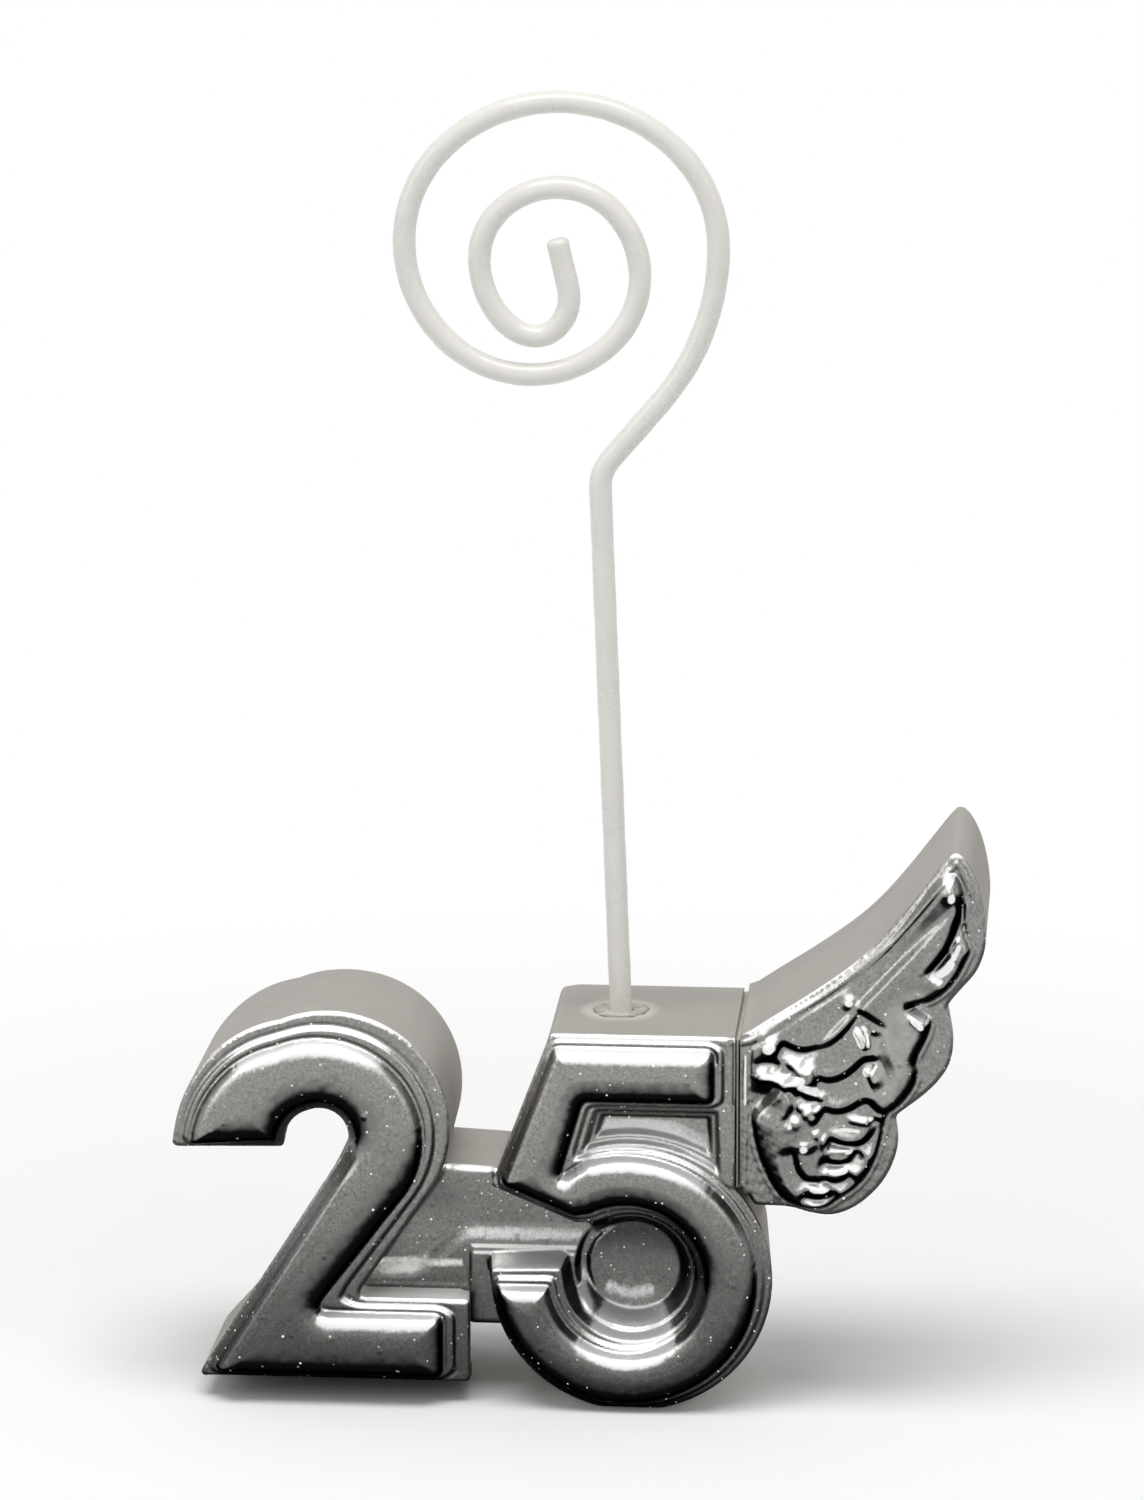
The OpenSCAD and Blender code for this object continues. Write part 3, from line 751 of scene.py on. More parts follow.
def silver_paint(paints):
    """Silver spray paint with painted light and shade: painted highlights where the relief leans up and along
    the highlight lines, darker on its crowns, painted shade nearly black where it leans down, thin and dull
    on the sides of the blocks, with fine grain, scattered flakes and one feather paler."""
    f = Finish("silver_paint", paints.silver, 0.3, 1.0)
    f.shader.inputs["Specular Tint"].default_value = (0.3, 0.3, 0.3, 1)
    side, tilt, aside, low, painted_glints = (f.stored(name) for name in ("side", "tilt", "aside", "low", "painted_glints"))
    grain = f.noise(6500, 2.0, 0.6)
    coarse = f.noise(1900, 3.0, 0.6)
    cloud = f.noise(260, 4.0, 0.6)
    uneven = (coarse - 0.5) * 0.14 + (grain - 0.5) * 0.14
    upwards, downwards = uneven + tilt - aside * 1.1, uneven - tilt + aside * 0.3
    mottle = f.noise(3800, 2.0, 0.7)
    near, luck = f.cells(4200)
    flake = (near * -1 + 0.42).ramp(0, 0.2) * (luck + low * 0.022).ramp(0.985, 0.992)
    near_big, luck_big = f.cells(2400)
    flake_big = (near_big * -1 + 0.3).ramp(0, 0.12) * (luck_big + low * 0.014).ramp(0.992, 0.997)
    split = f.node("ShaderNodeSeparateXYZ", {}, f.place).outputs
    x, y, z = (Value(f, split[axis]) for axis in "XYZ")
    # The base colour is paler over the wing's middle feather
    off_x, off_z = (x - z * 0.26 - 0.0128) * 1.25, (z - 0.0285) * 0.5
    middle_feather_gap = (off_x * off_x + off_z * off_z).power(0.5) + (cloud - 0.5) * 0.0012
    base = paints.silver
    coats = [(cloud.ramp(0.3, 0.75) * 0.35, 0.78), (grain.ramp(0.4, 0.65) * 0.5, 1.35),
             (grain.fall(0.3, 0.5) * 0.4, 0.6), (mottle.ramp(0.56, 0.7) * 0.5, 1.9),
             (mottle.fall(0.32, 0.46) * 0.5, 0.45), (middle_feather_gap.fall(0.0013, 0.0027) * 0.75, 1.6)]
    for amount, brightness in coats:
        base = f.mixed(amount, base, shade(paints.silver, brightness))
    # Painted shade: the silver is darker towards the foot and the bottom of the bowl
    dark = shade(paints.silver, 0.05)
    base = f.mixed(z.fall(-0.001, 0.026) * 0.82, base, dark)
    # Painted shade: darker, then near-black, where the relief leans down
    base = f.mixed(downwards.ramp(-0.06, 0.18) * (0.7 - low * 0.35), base, dark)
    base = f.mixed(downwards.ramp(0.06, 0.26) * (1 - low * 0.45), base, paints.painted_shade)
    # Painted highlight: lighter, then near-white, where the relief leans up and on the glint lines; thick is
    # the painted highlight's share
    base = f.mixed(upwards.ramp(0.02, 0.25) * 0.3, base, shade(paints.silver, 1.7))
    thick = upwards.ramp(0.25, 0.45).math("MAXIMUM", (painted_glints + uneven * 1.6).ramp(0.25, 0.6))
    base = f.mixed(thick, base, paints.painted_highlight)
    # Round the wire's foot the filler was wiped over the top face and left it paler
    away = (x * x + y * y).power(0.5)
    wiped = (away * -1 + cloud * 0.0008).ramp(-0.0028, -0.0019) * z.ramp(0.0282, 0.0284)
    dull = f.mixed(cloud.ramp(0.35, 0.75) * 0.35 + coarse.ramp(0.4, 0.7) * 0.12, paints.side,
                   shade(paints.side, 0.85))
    dull = f.mixed(wiped * 0.7, dull, shade(paints.side, 1.45))
    # Painted highlight: in the recesses the walls that lean up get the highlight colour
    recess = z.fall(0.0118, 0.0125) * y.fall(-0.003, -0.0022)
    dull = f.mixed(recess * tilt.ramp(0.25, 0.5) * x.ramp(-0.0225, -0.0215), dull, paints.painted_highlight)
    base = f.mixed(side.ramp(0.5, 0.95), base, dull)
    sparks = (flake + flake_big) * (1 - side * 0.85)
    base = f.mixed(sparks.math("MINIMUM", 1.0), base, paints.flake)
    f.feed("Base Color", base)
    # The painted highlight is less metallic
    f.feed("Metallic", 1 - thick * 0.45)
    f.feed("Roughness", 0.24 + side * 0.3 + grain * 0.08 + cloud * 0.04)
    f.bump(grain * 0.35 + coarse * 0.9 + cloud * 1.4 + sparks * 0.8, 0.00003)
    return f.material


def white_enamel(paints):
    """Glossy enamel with slight clouding and an orange-peel skin."""
    f = Finish("white_enamel", paints.enamel, 0.24)
    cloud = f.noise(420, 3.0, 0.6)
    fine = f.noise(2600, 2.0, 0.5)
    base = f.mixed(cloud.ramp(0.35, 0.7) * 0.5, paints.enamel, shade(paints.enamel, 0.93))
    f.feed("Base Color", base)
    f.feed("Roughness", 0.2 + cloud * 0.12)
    f.bump(cloud * 1.2 + fine * 0.25, 0.00004)
    return f.material


def cured_glue(paints):
    """Pale, slightly yellow glue, cloudy and dull; the silver spray covers it at the front."""
    f = Finish("cured_glue", paints.glue, 0.5)
    cloud = f.noise(900, 3.0, 0.6)
    y = f.node("ShaderNodeSeparateXYZ", {}, f.place).outputs["Y"]
    painted = Value(f, y).fall(-0.0059, -0.0054)
    bare = f.mixed(cloud.ramp(0.35, 0.7), paints.glue, shade(paints.glue, 0.8))
    f.feed("Base Color", f.mixed(painted, bare, paints.silver))
    f.feed("Metallic", painted)
    f.feed("Roughness", 0.42 + cloud * 0.2 - painted * 0.15)
    f.bump(cloud, 0.00005)
    return f.material


def stained_filler(paints):
    """Grey-pink filler with brown pits, and a dark line where its edge came away from the casting."""
    f = Finish("stained_filler", paints.filler, 0.6)
    cloud = f.noise(1100, 4.0, 0.6)
    edge = f.stored("edge")
    base = f.mixed(cloud.ramp(0.3, 0.7), shade(paints.filler, 0.75), shade(paints.filler, 1.25))
    pits = f.noise(700, 2.0, 0.5).ramp(0.55, 0.68)
    base = f.mixed(pits * 0.45, base, paints.stain)
    base = f.mixed(edge * cloud.ramp(0.2, 0.5), base, paints.stain)
    f.feed("Base Color", base)
    f.feed("Roughness", 0.5 + cloud * 0.25)
    f.bump(cloud, 0.00012)
    return f.material


MATERIALS = {}


def material(name):
    """The finish of that name, made once."""
    makers = {"silver": silver_paint, "enamel": white_enamel, "glue": cured_glue, "filler": stained_filler}
    if name not in MATERIALS:
        MATERIALS[name] = makers[name](bpy.context.scene.holder_paints)
    return MATERIALS[name]


# Pieces

class HOLDER_OT_two(bpy.types.Operator):
    """Makes the figure 2"""
    bl_idname = "holder.figure_two"
    bl_label = "Figure 2"

    def execute(self, context):
        sizes = context.scene.holder_castings

        def domain(p):
            """Inside the block or its sole, above the table."""
            return np.minimum(np.maximum(sink(p, TWO_BLOCK), sink(p, TWO_SOLE)), p[:, 1])

        def left_of_diagonal(p):
            """One at the left edge of the 2's diagonal, zero elsewhere."""
            return eased_step((TWO_LEAN * p[:, 1] - 29 - p[:, 0]) / 0.9) * eased_step((19 - p[:, 1]) / 2)

        def height(p):
            """The figure's relief, with the sole set back."""
            up, d, edge = relief(p, TWO_FACE, TWO_BLOCK, sizes, 1.3 - 0.6 * left_of_diagonal(p))
            up += 0.025 * waves(p, 5, 21) * (d > 0) + 0.01 * waves(p, 1.3, 22)
            up += 0.09 * specks(p, (-30, 1), (-11, 29), 50, 0.12, 23)
            sole = (SOLE_SETBACK - 0.3) * eased_step(-edge / 0.3)
            return np.where(edge < 0, -mm(sizes.lip_round) - sole, up)

        def tapers(at):
            """More draft left of the diagonal and right of the foot, where the back is hidden behind the
            face, and hardly any on the arch's right."""
            x, z = at.T
            left = left_of_diagonal(at) * eased_step((z - 1.5) / 5)
            foot = eased_step((x + 11.6) / 0.4) * eased_step((8.5 - z) / 0.5)
            arch = eased_step((x + 22) / 9) * eased_step((z - 9) / 6)
            return 1 + 1.6 * left + 1.3 * foot - 0.8 * arch, 1 + 0 * x

        under_sole = [(-30.4, 1.5), (-30.4, -8), (-11, -8), (-11, 2)]
        casting("figure_two", (-33.5, -0.5), (-10.2, 30.2), domain, height, sizes,
                ["numeral_two"], beyond=[under_sole], tapers=tapers, face=lambda p: sink(p, TWO_FACE))
        return {"FINISHED"}


class HOLDER_OT_five(bpy.types.Operator):
    """Makes the figure 5, with its notch, channel and dish"""
    bl_idname = "holder.figure_five"
    bl_label = "Figure 5"

    def execute(self, context):
        sizes = context.scene.holder_castings
        recess, notch, lip_round = mm(sizes.recess), mm(sizes.notch), mm(sizes.lip_round)

        def domain(p):
            """Inside the block, its rim, its recesses or its round dish, above the table."""
            shapes = (FIVE_BLOCK, FIVE_RIM, FIVE_NOTCH, FIVE_CHANNEL)
            solid = np.maximum.reduce([sink(p, shape) for shape in shapes])
            round_dish = FIVE_BOWL_R - np.hypot(*(p - FIVE_BOWL).T)
            return np.minimum(np.maximum(solid, round_dish), p[:, 1])

        def height(p):
            """The figure's relief, and the recesses behind its lip."""
            top = eased_step((p[:, 1] - 26.3) / 0.8)
            up, d, edge = relief(p, FIVE_FACE, FIVE_BLOCK, sizes, groove=0.15 + 0.25 * top)
            rim = sink(p, FIVE_RIM)
            out = -np.maximum(edge, rim)
            near_seam = eased_step((p[:, 0] - 8.1) / 0.2) * 0.75
            up = np.where(edge < rim, -worn(rim, lip_round) * (1 - near_seam), up)
            up += 0.02 * waves(p, 5, 51) * (d > 0) + 0.01 * waves(p, 1.3, 52)
            up += 0.035 * specks(p, (8.3, 7), (8.9, 12), 14, 0.13, 53)
            up += 0.05 * specks(p, (-9, 0), (9, 28), 50, 0.11, 54)
            # Under the bar: a step, then a scoop, deepest below the bar, that comes up towards the bowl
            r = from_bowl(p)
            above = r - (FIVE_BOWL_R + FIVE_LIP)
            scoop = 0.45 + 0.55 * eased_step(above / 2.2)
            low = -notch * (0.25 * eased_step(out / 0.2) + (scoop - 0.25) * eased_step((out - 0.45) / 0.35))
            # Inside the bowl: ledges that go down to a flat round floor, and on its left the channel
            ledges = 0.15 * np.clip(r / DISH_FLOOR, 0, 1) ** 2 + 0.43 * eased_step((r - DISH_FLOOR) / 0.95) \
                + 0.08 * eased_step((r - 4.2) / 0.12) + 0.08 * eased_step((r - 4.55) / 0.12)
            turn = (np.degrees(np.arctan2(*(p - FIVE_BOWL).T[::-1])) + 210) % 360
            ring = eased_step((turn - 30) / 52) * eased_step((350 - turn) / 40)
            dish = -recess - 0.1 + recess * ledges * np.maximum(ring, r < DISH_FLOOR)
            left = eased_step((r - 3.95) / 0.35) * (p[:, 0] < 0)
            floor = np.maximum(dish, left * bridge(p, recess) + (1 - left) * (-recess - 0.1)) + 0.02
            floor = (floor + lip_round) * eased_step(out / 0.3)
            in_notch = (p[:, 1] > 17) & (above > -0.4)
            return np.where(out < 0, up, -lip_round + np.where(in_notch, low, floor))

        def tapers(at):
            """Hardly any draft along the top, and more on the bowl's right, where the side is hidden."""
            x, z = at.T
            top, right = eased_step((z - 26.5) / 1.5), eased_step((x - 5) / 4) * eased_step((20 - z) / 2)
            return (1 - 0.9 * top) * (1 + 1.2 * right), 1 - 0.7 * top * eased_step((x + 4.8) / 1.5)

        under_bowl = [(-1.4, -8), (3.2, -8), (3.2, 1.5), (-1.4, 1.5)]
        past_seam = [(4, FIVE_TOP), (16, FIVE_TOP), (16, 14), (4, 14)]
        casting("figure_five", (-10.2, -0.3), (11.5, 29), domain, height, sizes,
                ["numeral_five"], beyond=[under_bowl, past_seam], tapers=tapers,
                face=lambda p: sink(p, FIVE_FACE), glints=lambda p: glint_strength(p, DISH_GLINTS))
        return {"FINISHED"}


class HOLDER_OT_web(bpy.types.Operator):
    """Makes the recessed bridge between the figures"""
    bl_idname = "holder.web"
    bl_label = "Web"

    def execute(self, context):
        sizes = context.scene.holder_castings

        def domain(p):
            """Inside the web, and a little way into the figures' blocks."""
            return np.minimum(sink(p, WEB), 0.35 - np.maximum(sink(p, TWO_BLOCK), sink(p, FIVE_BLOCK)))

        def height(p):
            """The bridge, a little lower where the 5's channel begins, with a worn outer edge."""
            under = 0.12 * eased_step(sink(p, FIVE_CHANNEL) / 0.25)
            return bridge(p, mm(sizes.recess)) - under - worn(sink(p, WEB), 0.5)

        casting("joining_bridge", (-27, 4.5), (-3, 18), domain, height, sizes,
                ["joining_web"], WEB_BACK, upright=True, glints=lambda p: glint_strength(p, WEB_GLINTS))
        return {"FINISHED"}


# Wing: its outline, and the outline of the raised feathers
WING_EDGE = [(4, 28.45), (9.1, 28.5), (11, 29.85), (14, 31.8), (17, 34), (18.9, 35.8), (20.7, 38),
             (22.5, 40.4), (23.75, 42.1), (24.45, 42.8), (25.3, 42.1), (26.1, 40.4), (26.6, 38.2),
             (26.75, 36), (26.4, 34.6), (25.9, 33.6), (25.1, 32.7), (24.2, 31.6), (23.9, 31),
             (24.3, 30.2), (24.5, 28.7), (24.3, 27), (23.5, 25.6), (22.2, 24.3), (20.9, 23.3),
             (20.3, 22.8), (20.6, 21.6), (20.5, 20.2), (20, 18.7), (19.2, 17.4), (17.8, 16), (16, 15.1),
             (14.2, 15.3), (13.1, 15.7), (11.5, 15.8), (10.6, 15.75), (4, 16.4)]
FEATHERS = [(10, 28.4), (11.5, 29.4), (13.2, 30.4), (15.2, 31.6), (17, 33.1), (18.6, 34.6),
            (20.3, 36.6), (21.6, 38.4), (22.7, 40.1), (23.5, 41), (24.2, 41.3), (24.7, 40.9),
            (25, 39.8), (25.05, 38.5), (25.1, 37.2), (25.4, 36.2), (25.6, 35.5), (25.2, 34.7),
            (24.8, 33.8), (24.2, 32.9), (23.4, 32.1), (22.5, 31.6), (21.6, 31.3), (22, 30.9),
            (22.7, 30.5), (22.8, 30), (22.6, 29.2), (22.2, 28.3), (21.7, 27.3), (21.85, 26.4),
            (21.7, 25.4), (21.1, 24.4), (20.4, 23.6), (19.6, 23.1), (19.5, 22), (19.25, 20.9),
            (18.8, 19.5), (18.2, 18.3), (17.4, 17.4), (16.4, 16.7), (15.5, 16), (14.4, 15.75),
            (13, 16.1), (12.1, 16.6), (11.2, 18), (10.4, 20), (10, 22), (9.9, 24.5), (9.8, 26.5)]
# Edges of the feathers that lie over others: depth of the drop, the width over which it comes up again, and
# a line whose right-hand side is the lower one
CREASES = [
    (0.85, 1.5, [(22.5, 33.8), (23, 34.4), (23.6, 35.2), (24.1, 36), (24.45, 37), (24.7, 38.2),
        (24.85, 39.2)]),
    (0.55, 0.7, [(20.9, 31.45), (21.7, 31.5), (22.6, 31.7)]),
    (0.6, 2.3, [(11.9, 28.4), (12.6, 28), (13.4, 27.75), (14.3, 27.85), (15.2, 28.3), (16.1, 28.9),
        (16.9, 29.8), (17.4, 30.7), (17.7, 31.2)]),
    (0.25, 0.8, [(19.2, 24.9), (19.45, 25.6), (19.4, 26.5), (18.9, 27.4), (18.65, 28.4), (18.5, 29.4)]),
    (0.6, 2.2, [(14.6, 26), (15.2, 25.7), (15.9, 25.75), (16.7, 26.1), (17.4, 26.7), (18, 27.3),
        (18.5, 27.5), (19, 27.2)]),
    (0.6, 2.0, [(15, 23.7), (15.6, 23.4), (16.3, 23.35), (17.1, 23.6), (17.8, 24.1), (18.4, 24.3),
        (18.9, 23.7), (19.5, 23.3)]),
    (0.75, 1.0, [(15.4, 21.4), (16.3, 21), (17.2, 20.85), (18, 21), (18.5, 21.5), (18.8, 22.2),
        (18.85, 22.9)]),
    (0.65, 0.8, [(15, 19.8), (15.8, 19.5), (16.6, 19.5), (17.3, 19.8), (17.75, 20.4)]),
    (0.65, 0.75, [(15, 18.5), (15.8, 18.05), (16.6, 18.2), (17.15, 18.8)]),
    (0.6, 0.6, [(13.5, 17.1), (14.5, 16.75), (15.4, 16.85), (16.1, 17.4)]),
    (0.55, 1.0, [(13, 20.6), (13.1, 19.7), (13.4, 18.7), (14, 18.1), (14.9, 18.2)]),
    (0.5, 0.7, [(12.2, 22.5), (12.6, 22.9), (13, 23.6), (12.9, 24.4), (12.3, 25)]),
    (0.4, 0.7, [(10.1, 26.5), (10.7, 26.95), (11.4, 26.9), (12, 26.5)]),
    (0.45, 0.6, [(13.4, 25), (14, 24.25), (14.9, 24.2)]),
]
# Ridges: height, width and line
RIDGES = [
    (0.5, 0.34, [(10.3, 25.3), (10.9, 25.9), (11.6, 25.6), (12.4, 25.35), (13.4, 25.5), (14.4, 25.9)]),
    (0.42, 0.3, [(12.4, 27.2), (13, 26.7), (13.7, 26.2), (14.5, 26.1)]),
    (0.35, 0.3, [(13.3, 26.9), (14, 26.7), (14.3, 26.2)]),
    (0.4, 0.2, [(17.3, 29.7), (17.9, 29.1), (18.2, 28.3)]),
    (0.3, 0.16, [(17.8, 29.9), (18.3, 29.2), (18.45, 28.4)]),
    (0.35, 0.22, [(18, 26.8), (18.5, 26.4), (18.9, 25.6)]),
    (0.3, 0.2, [(16.8, 22.9), (17.8, 22.7), (18.5, 22.7)]),
    (0.32, 0.22, [(15.4, 20.5), (16.6, 20.4), (17.5, 20.6)]),
    (0.35, 0.26, [(15.4, 19), (16.3, 18.9), (17, 19.2)]),
    (0.35, 0.26, [(13.8, 17.7), (14.8, 17.5), (15.7, 17.6)]),
    (0.3, 0.24, [(14, 16.3), (14.9, 16.2), (15.6, 16.5)]),
    (0.35, 0.24, [(15.2, 21.6), (15.3, 20.8), (15.5, 20.1)]),
    (0.4, 0.3, [(13.3, 20.9), (14, 20.7), (14.6, 21.2)]),
    (0.35, 0.3, [(22.7, 33.7), (23.6, 34.3), (24.5, 35.4)]),
    (0.3, 0.22, [(24, 35.4), (24.5, 36), (24.8, 36.5)]),
    (0.28, 0.25, [(21.3, 30.9), (22, 30.3), (22.6, 29.9)]),
]
# Bumps: height, radius and place
BUMPS = [
    (0.5, 0.6, (11.3, 28)), (0.4, 0.3, (14.6, 23.6)), (0.3, 0.2, (13.9, 23.2)), (0.4, 0.42, (12.9, 22.6)),
    (0.3, 0.25, (14.4, 22.9)), (0.35, 0.5, (16.9, 31.5)), (0.35, 0.5, (24.1, 39.9)),
    (0.25, 0.3, (13.5, 23.7)), (0.3, 0.35, (14.6, 21.7)), (-0.55, 0.9, (10.9, 23.6)),
    (-0.3, 0.6, (10.6, 24.5)), (0.25, 0.25, (15, 24.5)),
]
# The greatest height that the feathers reach over the wing's lip
WING_TOP = 1.6
# Painted highlights, bright lines and spots on the silver: strength, width and line
GLINTS = [
    (1.0, 0.3, [(24.2, 42.5), (24.6, 42.4)]),
    (1.0, 0.22, [(23.7, 40.8), (24.1, 41), (24.4, 40.8)]),
    (1.2, 0.25, [(24.26, 40.2), (24.18, 39.3)]),
    (0.9, 0.2, [(24.9, 36.3), (24.63, 35.5), (24.16, 34.7)]),
    (1.2, 0.3, [(24.4, 35.1), (24, 34.3), (23.3, 33.8), (22.8, 33.5)]),
    (1.2, 0.22, [(21.33, 30.8), (21.8, 30.3), (22.3, 29.8)]),
    (0.8, 0.2, [(22.75, 30.8), (22.5, 30.1)]),
    (1.3, 0.3, [(17, 31.9), (16.9, 31.3)]),
    (1.1, 0.24, [(17.26, 29.7), (17.6, 29.1), (18, 28.3)]),
    (0.8, 0.14, [(18, 29.8), (18.35, 29.1), (18.43, 28.3)]),
    (1.2, 0.25, [(18.1, 26.9), (18.3, 26.1)]),
    (1.3, 0.45, [(11, 28.4), (11.3, 27.6)]),
    (1.1, 0.28, [(10.5, 25.9), (11.5, 26), (12.7, 25.65), (13.9, 25.9)]),
    (1.1, 0.3, [(13.2, 25.4), (14.2, 25.1), (14.9, 24.7)]),
    (0.9, 0.25, [(12.5, 22.6), (12.9, 22.1)]),
    (1.1, 0.32, [(13.5, 20.9), (14, 20.4)]),
    (1.2, 0.24, [(15.4, 19), (16.1, 18.9), (17, 19.05)]),
    (1.2, 0.26, [(14.1, 17.6), (15, 17.55), (15.7, 17.75)]),
    (1.0, 0.18, [(16.6, 20.3), (17.35, 20.45)]),
    (1.1, 0.22, [(18.3, 23), (18.8, 22.8)]),
    (0.7, 0.2, [(15.6, 21.95), (16.8, 22.1), (18, 22)]),
    (0.8, 0.16, [(9.45, 29.1), (10.05, 29.5), (11, 29.9)]),
    (0.7, 0.12, [(9.45, 23.2), (9.45, 27.4)]),
]
# Painted highlights in the 5's dish and on the web: strength, width and line
DISH_GLINTS = [(0.46, 0.75, [(-1.1, 8.5), (0.3, 7.8), (1.4, 7.65), (2.8, 8.2)])]
WEB_GLINTS = [(0.5, 0.5, [(-19.2, 9.6), (-16, 9.7), (-13.5, 9.8), (-11.2, 9.9)])]


def glint_strength(points, glints=GLINTS):
    """Strength of the painted highlights: the largest of the glint lines, each a bell curve of the distance
    over its width."""
    total = np.zeros(len(points))
    for strength, width, line in glints:
        _, least, fade = beside(points, line)
        total = np.maximum(total, strength * bell(least, width) * fade)
    return total


def beside(points, line):
    """Three values for each point: its distance to the eased line, positive on its right-hand side; the
    same without a sign; and a share that fades from 1 to 0 over about half a millimetre at each end."""
    least = np.full(len(points), 1e9)
    turn = np.zeros(len(points))
    run = np.zeros(len(points))
    line = eased(line)
    ahead = 0.0
    for a, b in zip(line[:-1], line[1:]):
        e = b - a
        length = np.linalg.norm(e)
        q = points - a
        t = np.clip(q @ e / length ** 2, 0, 1)
        gap = np.linalg.norm(q - t[:, None] * e, axis=1)
        nearer = gap < least
        least = np.where(nearer, gap, least)
        turn = np.where(nearer, np.sign(q[:, 0] * e[1] - q[:, 1] * e[0]), turn)
        run = np.where(nearer, ahead + q @ e / length, run)
        ahead += length
    fade = eased_step(run / 0.7 + 0.25) * eased_step((ahead - run) / 0.5 + 0.35)
    return least * turn, least, fade


def up_left(x, z):
    """How far a place lies across the slope of the wing, towards its upper left edge."""
    return z * 0.9 - x


def plumage(points, mass):
    """Height of the feathers over the wing's lip. The raised mass has a rounded edge; each crease drops at
    once and comes up again over its width; ridges and bumps are bell curves of the distance over their
    width."""
    x, z = points.T
    upper = eased_step(up_left(x, z) - 10) * eased_step((41.5 - z) / 7)
    slow = 0.12 * eased_step(mass / 0.25) + 0.88 * eased_step(mass / 6)
    soft = eased_step((14 - x) / 3) * eased_step((24 - z) / 3)
    up = 1.05 * (dome(mass, 0.75 + 1.6 * soft) * (1 - upper) + slow * upper) + 0.12 * dome(mass, 2.5)
    for depth, width, line in CREASES:
        t, least, fade = beside(points, line)
        drop = eased_step((t + 0.42) / 0.68) * (1 - np.clip((t - 0.22) / width, 0, 1))
        crest = 0.05 * bell(t + 0.55, 0.35)
        up += np.where(least < width + 0.8, fade * (crest - depth * drop), 0) * (mass > 0)
    for height, width, line in RIDGES:
        _, least, fade = beside(points, line)
        up += height * bell(least, width) * fade
    for height, radius, place in BUMPS:
        up += height * spot(points, place, radius)
    return up


class HOLDER_OT_wing(bpy.types.Operator):
    """Makes the wing with its feathers"""
    bl_idname = "holder.wing"
    bl_label = "Wing"

    def execute(self, context):
        sizes = context.scene.holder_castings
        edge_line = eased(WING_EDGE, closed=True)
        mass_line = eased(FEATHERS, closed=True)

        def domain(p):
            """Inside the wing's edge, and clear of the 5 by the line of glue."""
            clear_of_bowl = from_bowl(p) - (FIVE_BOWL_R + FIVE_LIP + GLUE_LINE)
            clear_of_seam = p[:, 0] - SEAM_X - GLUE_LINE
            return np.minimum.reduce([sink(p, edge_line), clear_of_bowl, clear_of_seam])

        def height(p):
            """The wing's lip with its lines, and the feathers."""
            x, z = p.T
            edge = sink(p, edge_line)
            up = -worn(domain(p), mm(sizes.lip_round)) * (1 - 0.75 * eased_step((9.7 - x) / 0.2))
            mass = sink(p, mass_line)
            # Along the upper edge: a thin raised line with a groove on either side
            line = 0.13 * bell(edge - 0.62, 0.16) - 0.1 * bell(edge - 0.3, 0.12)
            up += (line - 0.12 * bell(edge - 0.95, 0.14)) * eased_step(up_left(x, z) - 9.5)
            groove = 0.14 * bell(mass + 0.1, 0.14) * (1 - 0.6 * eased_step(up_left(x, z) - 10))
            up += 0.16 * eased_step((mass + 0.5) / 0.25) - groove
            # Upright ribs beside the seam
            rib = eased_step((28 - z) / 2) * (mass < 0.2)
            up += rib * (0.14 * bell(x - 9.45, 0.13) - 0.1 * bell(x - 9.75, 0.1))
            up += plumage(p, mass)
            grit = eased_step(1 - mass / 0.2) * eased_step((30 - z) / 6)
            rough = eased_step((14.5 - x) / 2) * eased_step((27 - z) / 2)
            up += (0.05 * grit + 0.035 * rough) * waves(p, 0.6, 73) + 0.02 * waves(p, 3, 71)
            up += 0.06 * specks(p, (9, 15), (26, 42), 110, 0.12, 72)
            return np.minimum(up, WING_TOP)

        def tapers(at):
            """No draft along the top, and more on the right of the lower feathers, where the side is
            hidden."""
            x, z = at.T
            top = np.maximum(eased_step((up_left(x, z) - 9.5) / 2), eased_step((z - 34.5) / 1.5))
            right = eased_step((x - 15) / 3) * (1 - top)
            return (1 - top) * (1 + 1.2 * right), 1 - 0.7 * top

        casting("feathered_wing", (8.9, 14.8), (27.2, 43.2), domain, height, sizes,
                ["wing"], beyond=[edge_line], tapers=tapers, face=lambda p: sink(p, mass_line), glints=glint_strength)
        return {"FINISHED"}


